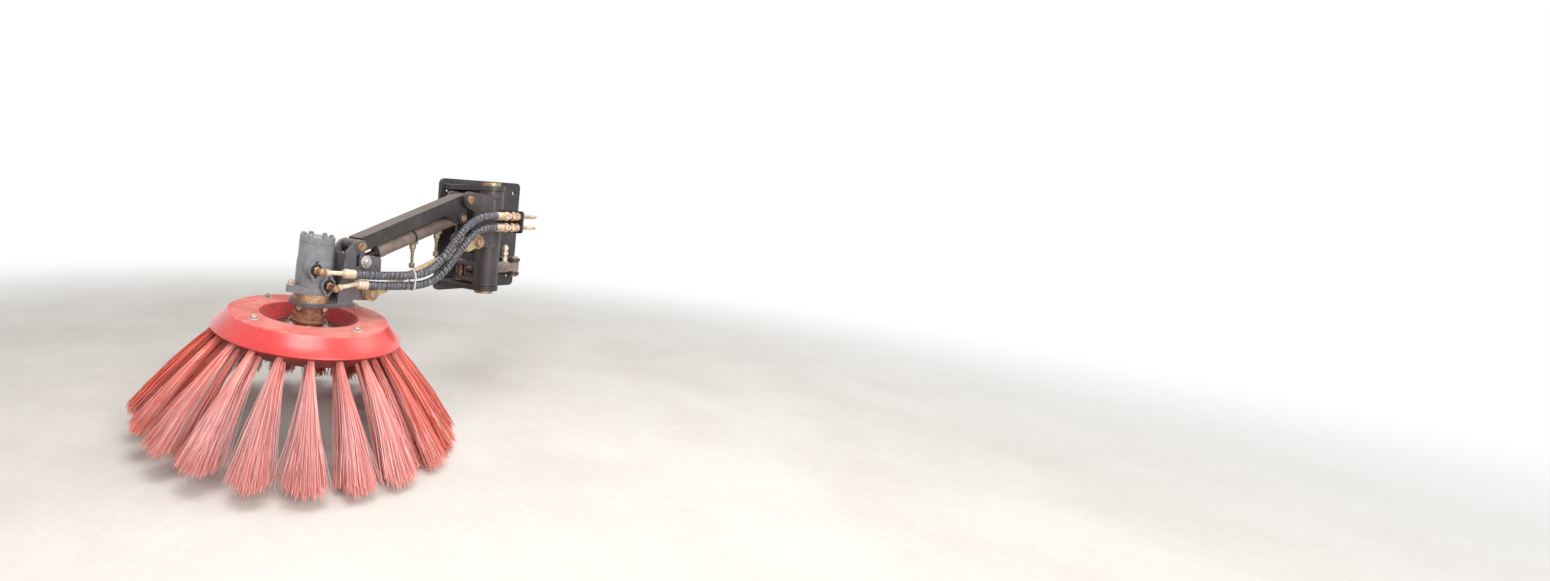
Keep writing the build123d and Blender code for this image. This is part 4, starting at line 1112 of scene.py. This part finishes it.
head_lines = [[base_top(x / 1000, -0.2022) for x in (-676, -655, -634)]]
head_lines.append([base_top(-0.6565, y / 1000) for y in (-191, -161, -131)])
weld("head_welds", "head_paint", "head", head_lines)
well_corner, well_floor = 0.0916, -0.0366
floor_ring = [on_brush(well_corner, 3 * n, well_floor) for n in range(120)]
weld("well_weld", "board_red", "brush", [floor_ring], loop=True)

# %% [markdown]
# ## Floor, background and lamps
# The floor is pale concrete that fades into a white surround. The white comes from what camera, mirror and
# glass rays see, and not from more light on the broom. A large soft lamp stands low in front, where the open
# sky is in the photograph, a smaller one hangs above the brush, and a weak one fills from behind.

# %% Floor
def seen_rays(g):
    """1 for what the camera sees, directly, in a mirror or through glass."""
    paths = g.node("ShaderNodeLightPath")
    mirrored = g.value("MAXIMUM", paths["Is Glossy Ray"], paths["Is Transmission Ray"])
    return g.value("MAXIMUM", paths["Is Camera Ray"], mirrored)


floor_half = 9.0
corners = [(x * floor_half, y * floor_half, floor_z) for x, y in ((-1, -1), (1, -1), (1, 1), (-1, 1))]
floor = in_scene("floor", mesh_of("floor", corners, faces=[(0, 1, 2, 3)]))
floor_finish, g = new_finish("floor")
place = g.place()
apart = {0: place, 1: (-0.7, -0.2, floor_z)}
from_broom = g.node("ShaderNodeVectorMath", {"operation": "DISTANCE"}, apart, "Value")
stain = g.noise(place, 2.5, 5.0)
speck = g.noise(place, 60.0, 4.0)
tone = g.mix(g.band(stain * 0.7 + speck * 0.3, 0.35, 0.65), srgb(232, 227, 219), srgb(243, 239, 232))
shader = g.node("ShaderNodeBsdfPrincipled", None, {"Base Color": tone, "Roughness": 0.8})
white = g.node("ShaderNodeEmission", None, {"Color": (1.0, 1.0, 1.0, 1.0), "Strength": 1.0})
share = g.band(from_broom, 1.3, 4.2) * seen_rays(g)
fade = g.node("ShaderNodeMixShader", None, {0: share, 1: shader, 2: white})
g.node("ShaderNodeOutputMaterial", None, {"Surface": fade})
floor.data.materials.append(floor_finish)

# %% World and lamps
world = bpy.data.worlds.new("surround")
bpy.context.scene.world = world
world.use_nodes = True
world.node_tree.nodes.clear()
g = Graph(world.node_tree)
toward = g.dot(g.node("ShaderNodeTexCoord")["Generated"], (-0.42, -0.78, 0.46))
glow = 0.22 + g.band(toward, -0.4, 1.0) * 0.38
light = g.node("ShaderNodeBackground", None, {"Color": (1.0, 0.985, 0.97, 1.0), "Strength": glow})
white = g.node("ShaderNodeBackground", None, {"Color": (1.0, 1.0, 1.0, 1.0), "Strength": 1.0})
sky = g.node("ShaderNodeMixShader", None, {0: seen_rays(g), 1: light, 2: white})
g.node("ShaderNodeOutputWorld", None, {"Surface": sky})
# each lamp's place, what it is aimed at, its width and its power
lamps = {
    "sky_front": ((-1.3, -3.6, 1.0), (-0.6, -0.2, -0.2), 2.2, 95),
    "sky_high": ((-0.98, -0.80, 1.95), (-0.85, -0.3, -0.2), 1.1, 23),
    "fill_rear": ((1.2, -0.9, 1.7), (-0.5, -0.25, -0.2), 1.4, 12),
}
for name, (place, target, width, power) in lamps.items():
    data = bpy.data.lights.new(name, "AREA")
    data.shape, data.size, data.energy = "SQUARE", width, power
    lamp = in_scene(name, data)
    lamp.location = place
    lamp.rotation_euler = (Vector(target) - Vector(place)).to_track_quat("-Z", "Y").to_euler()

# %% [markdown]
# ## View transform
# The view transform is Standard, so that paint renders as it was mixed.

# %% Finish
bpy.context.scene.view_settings.view_transform = "Standard"
bpy.context.view_layer.update()
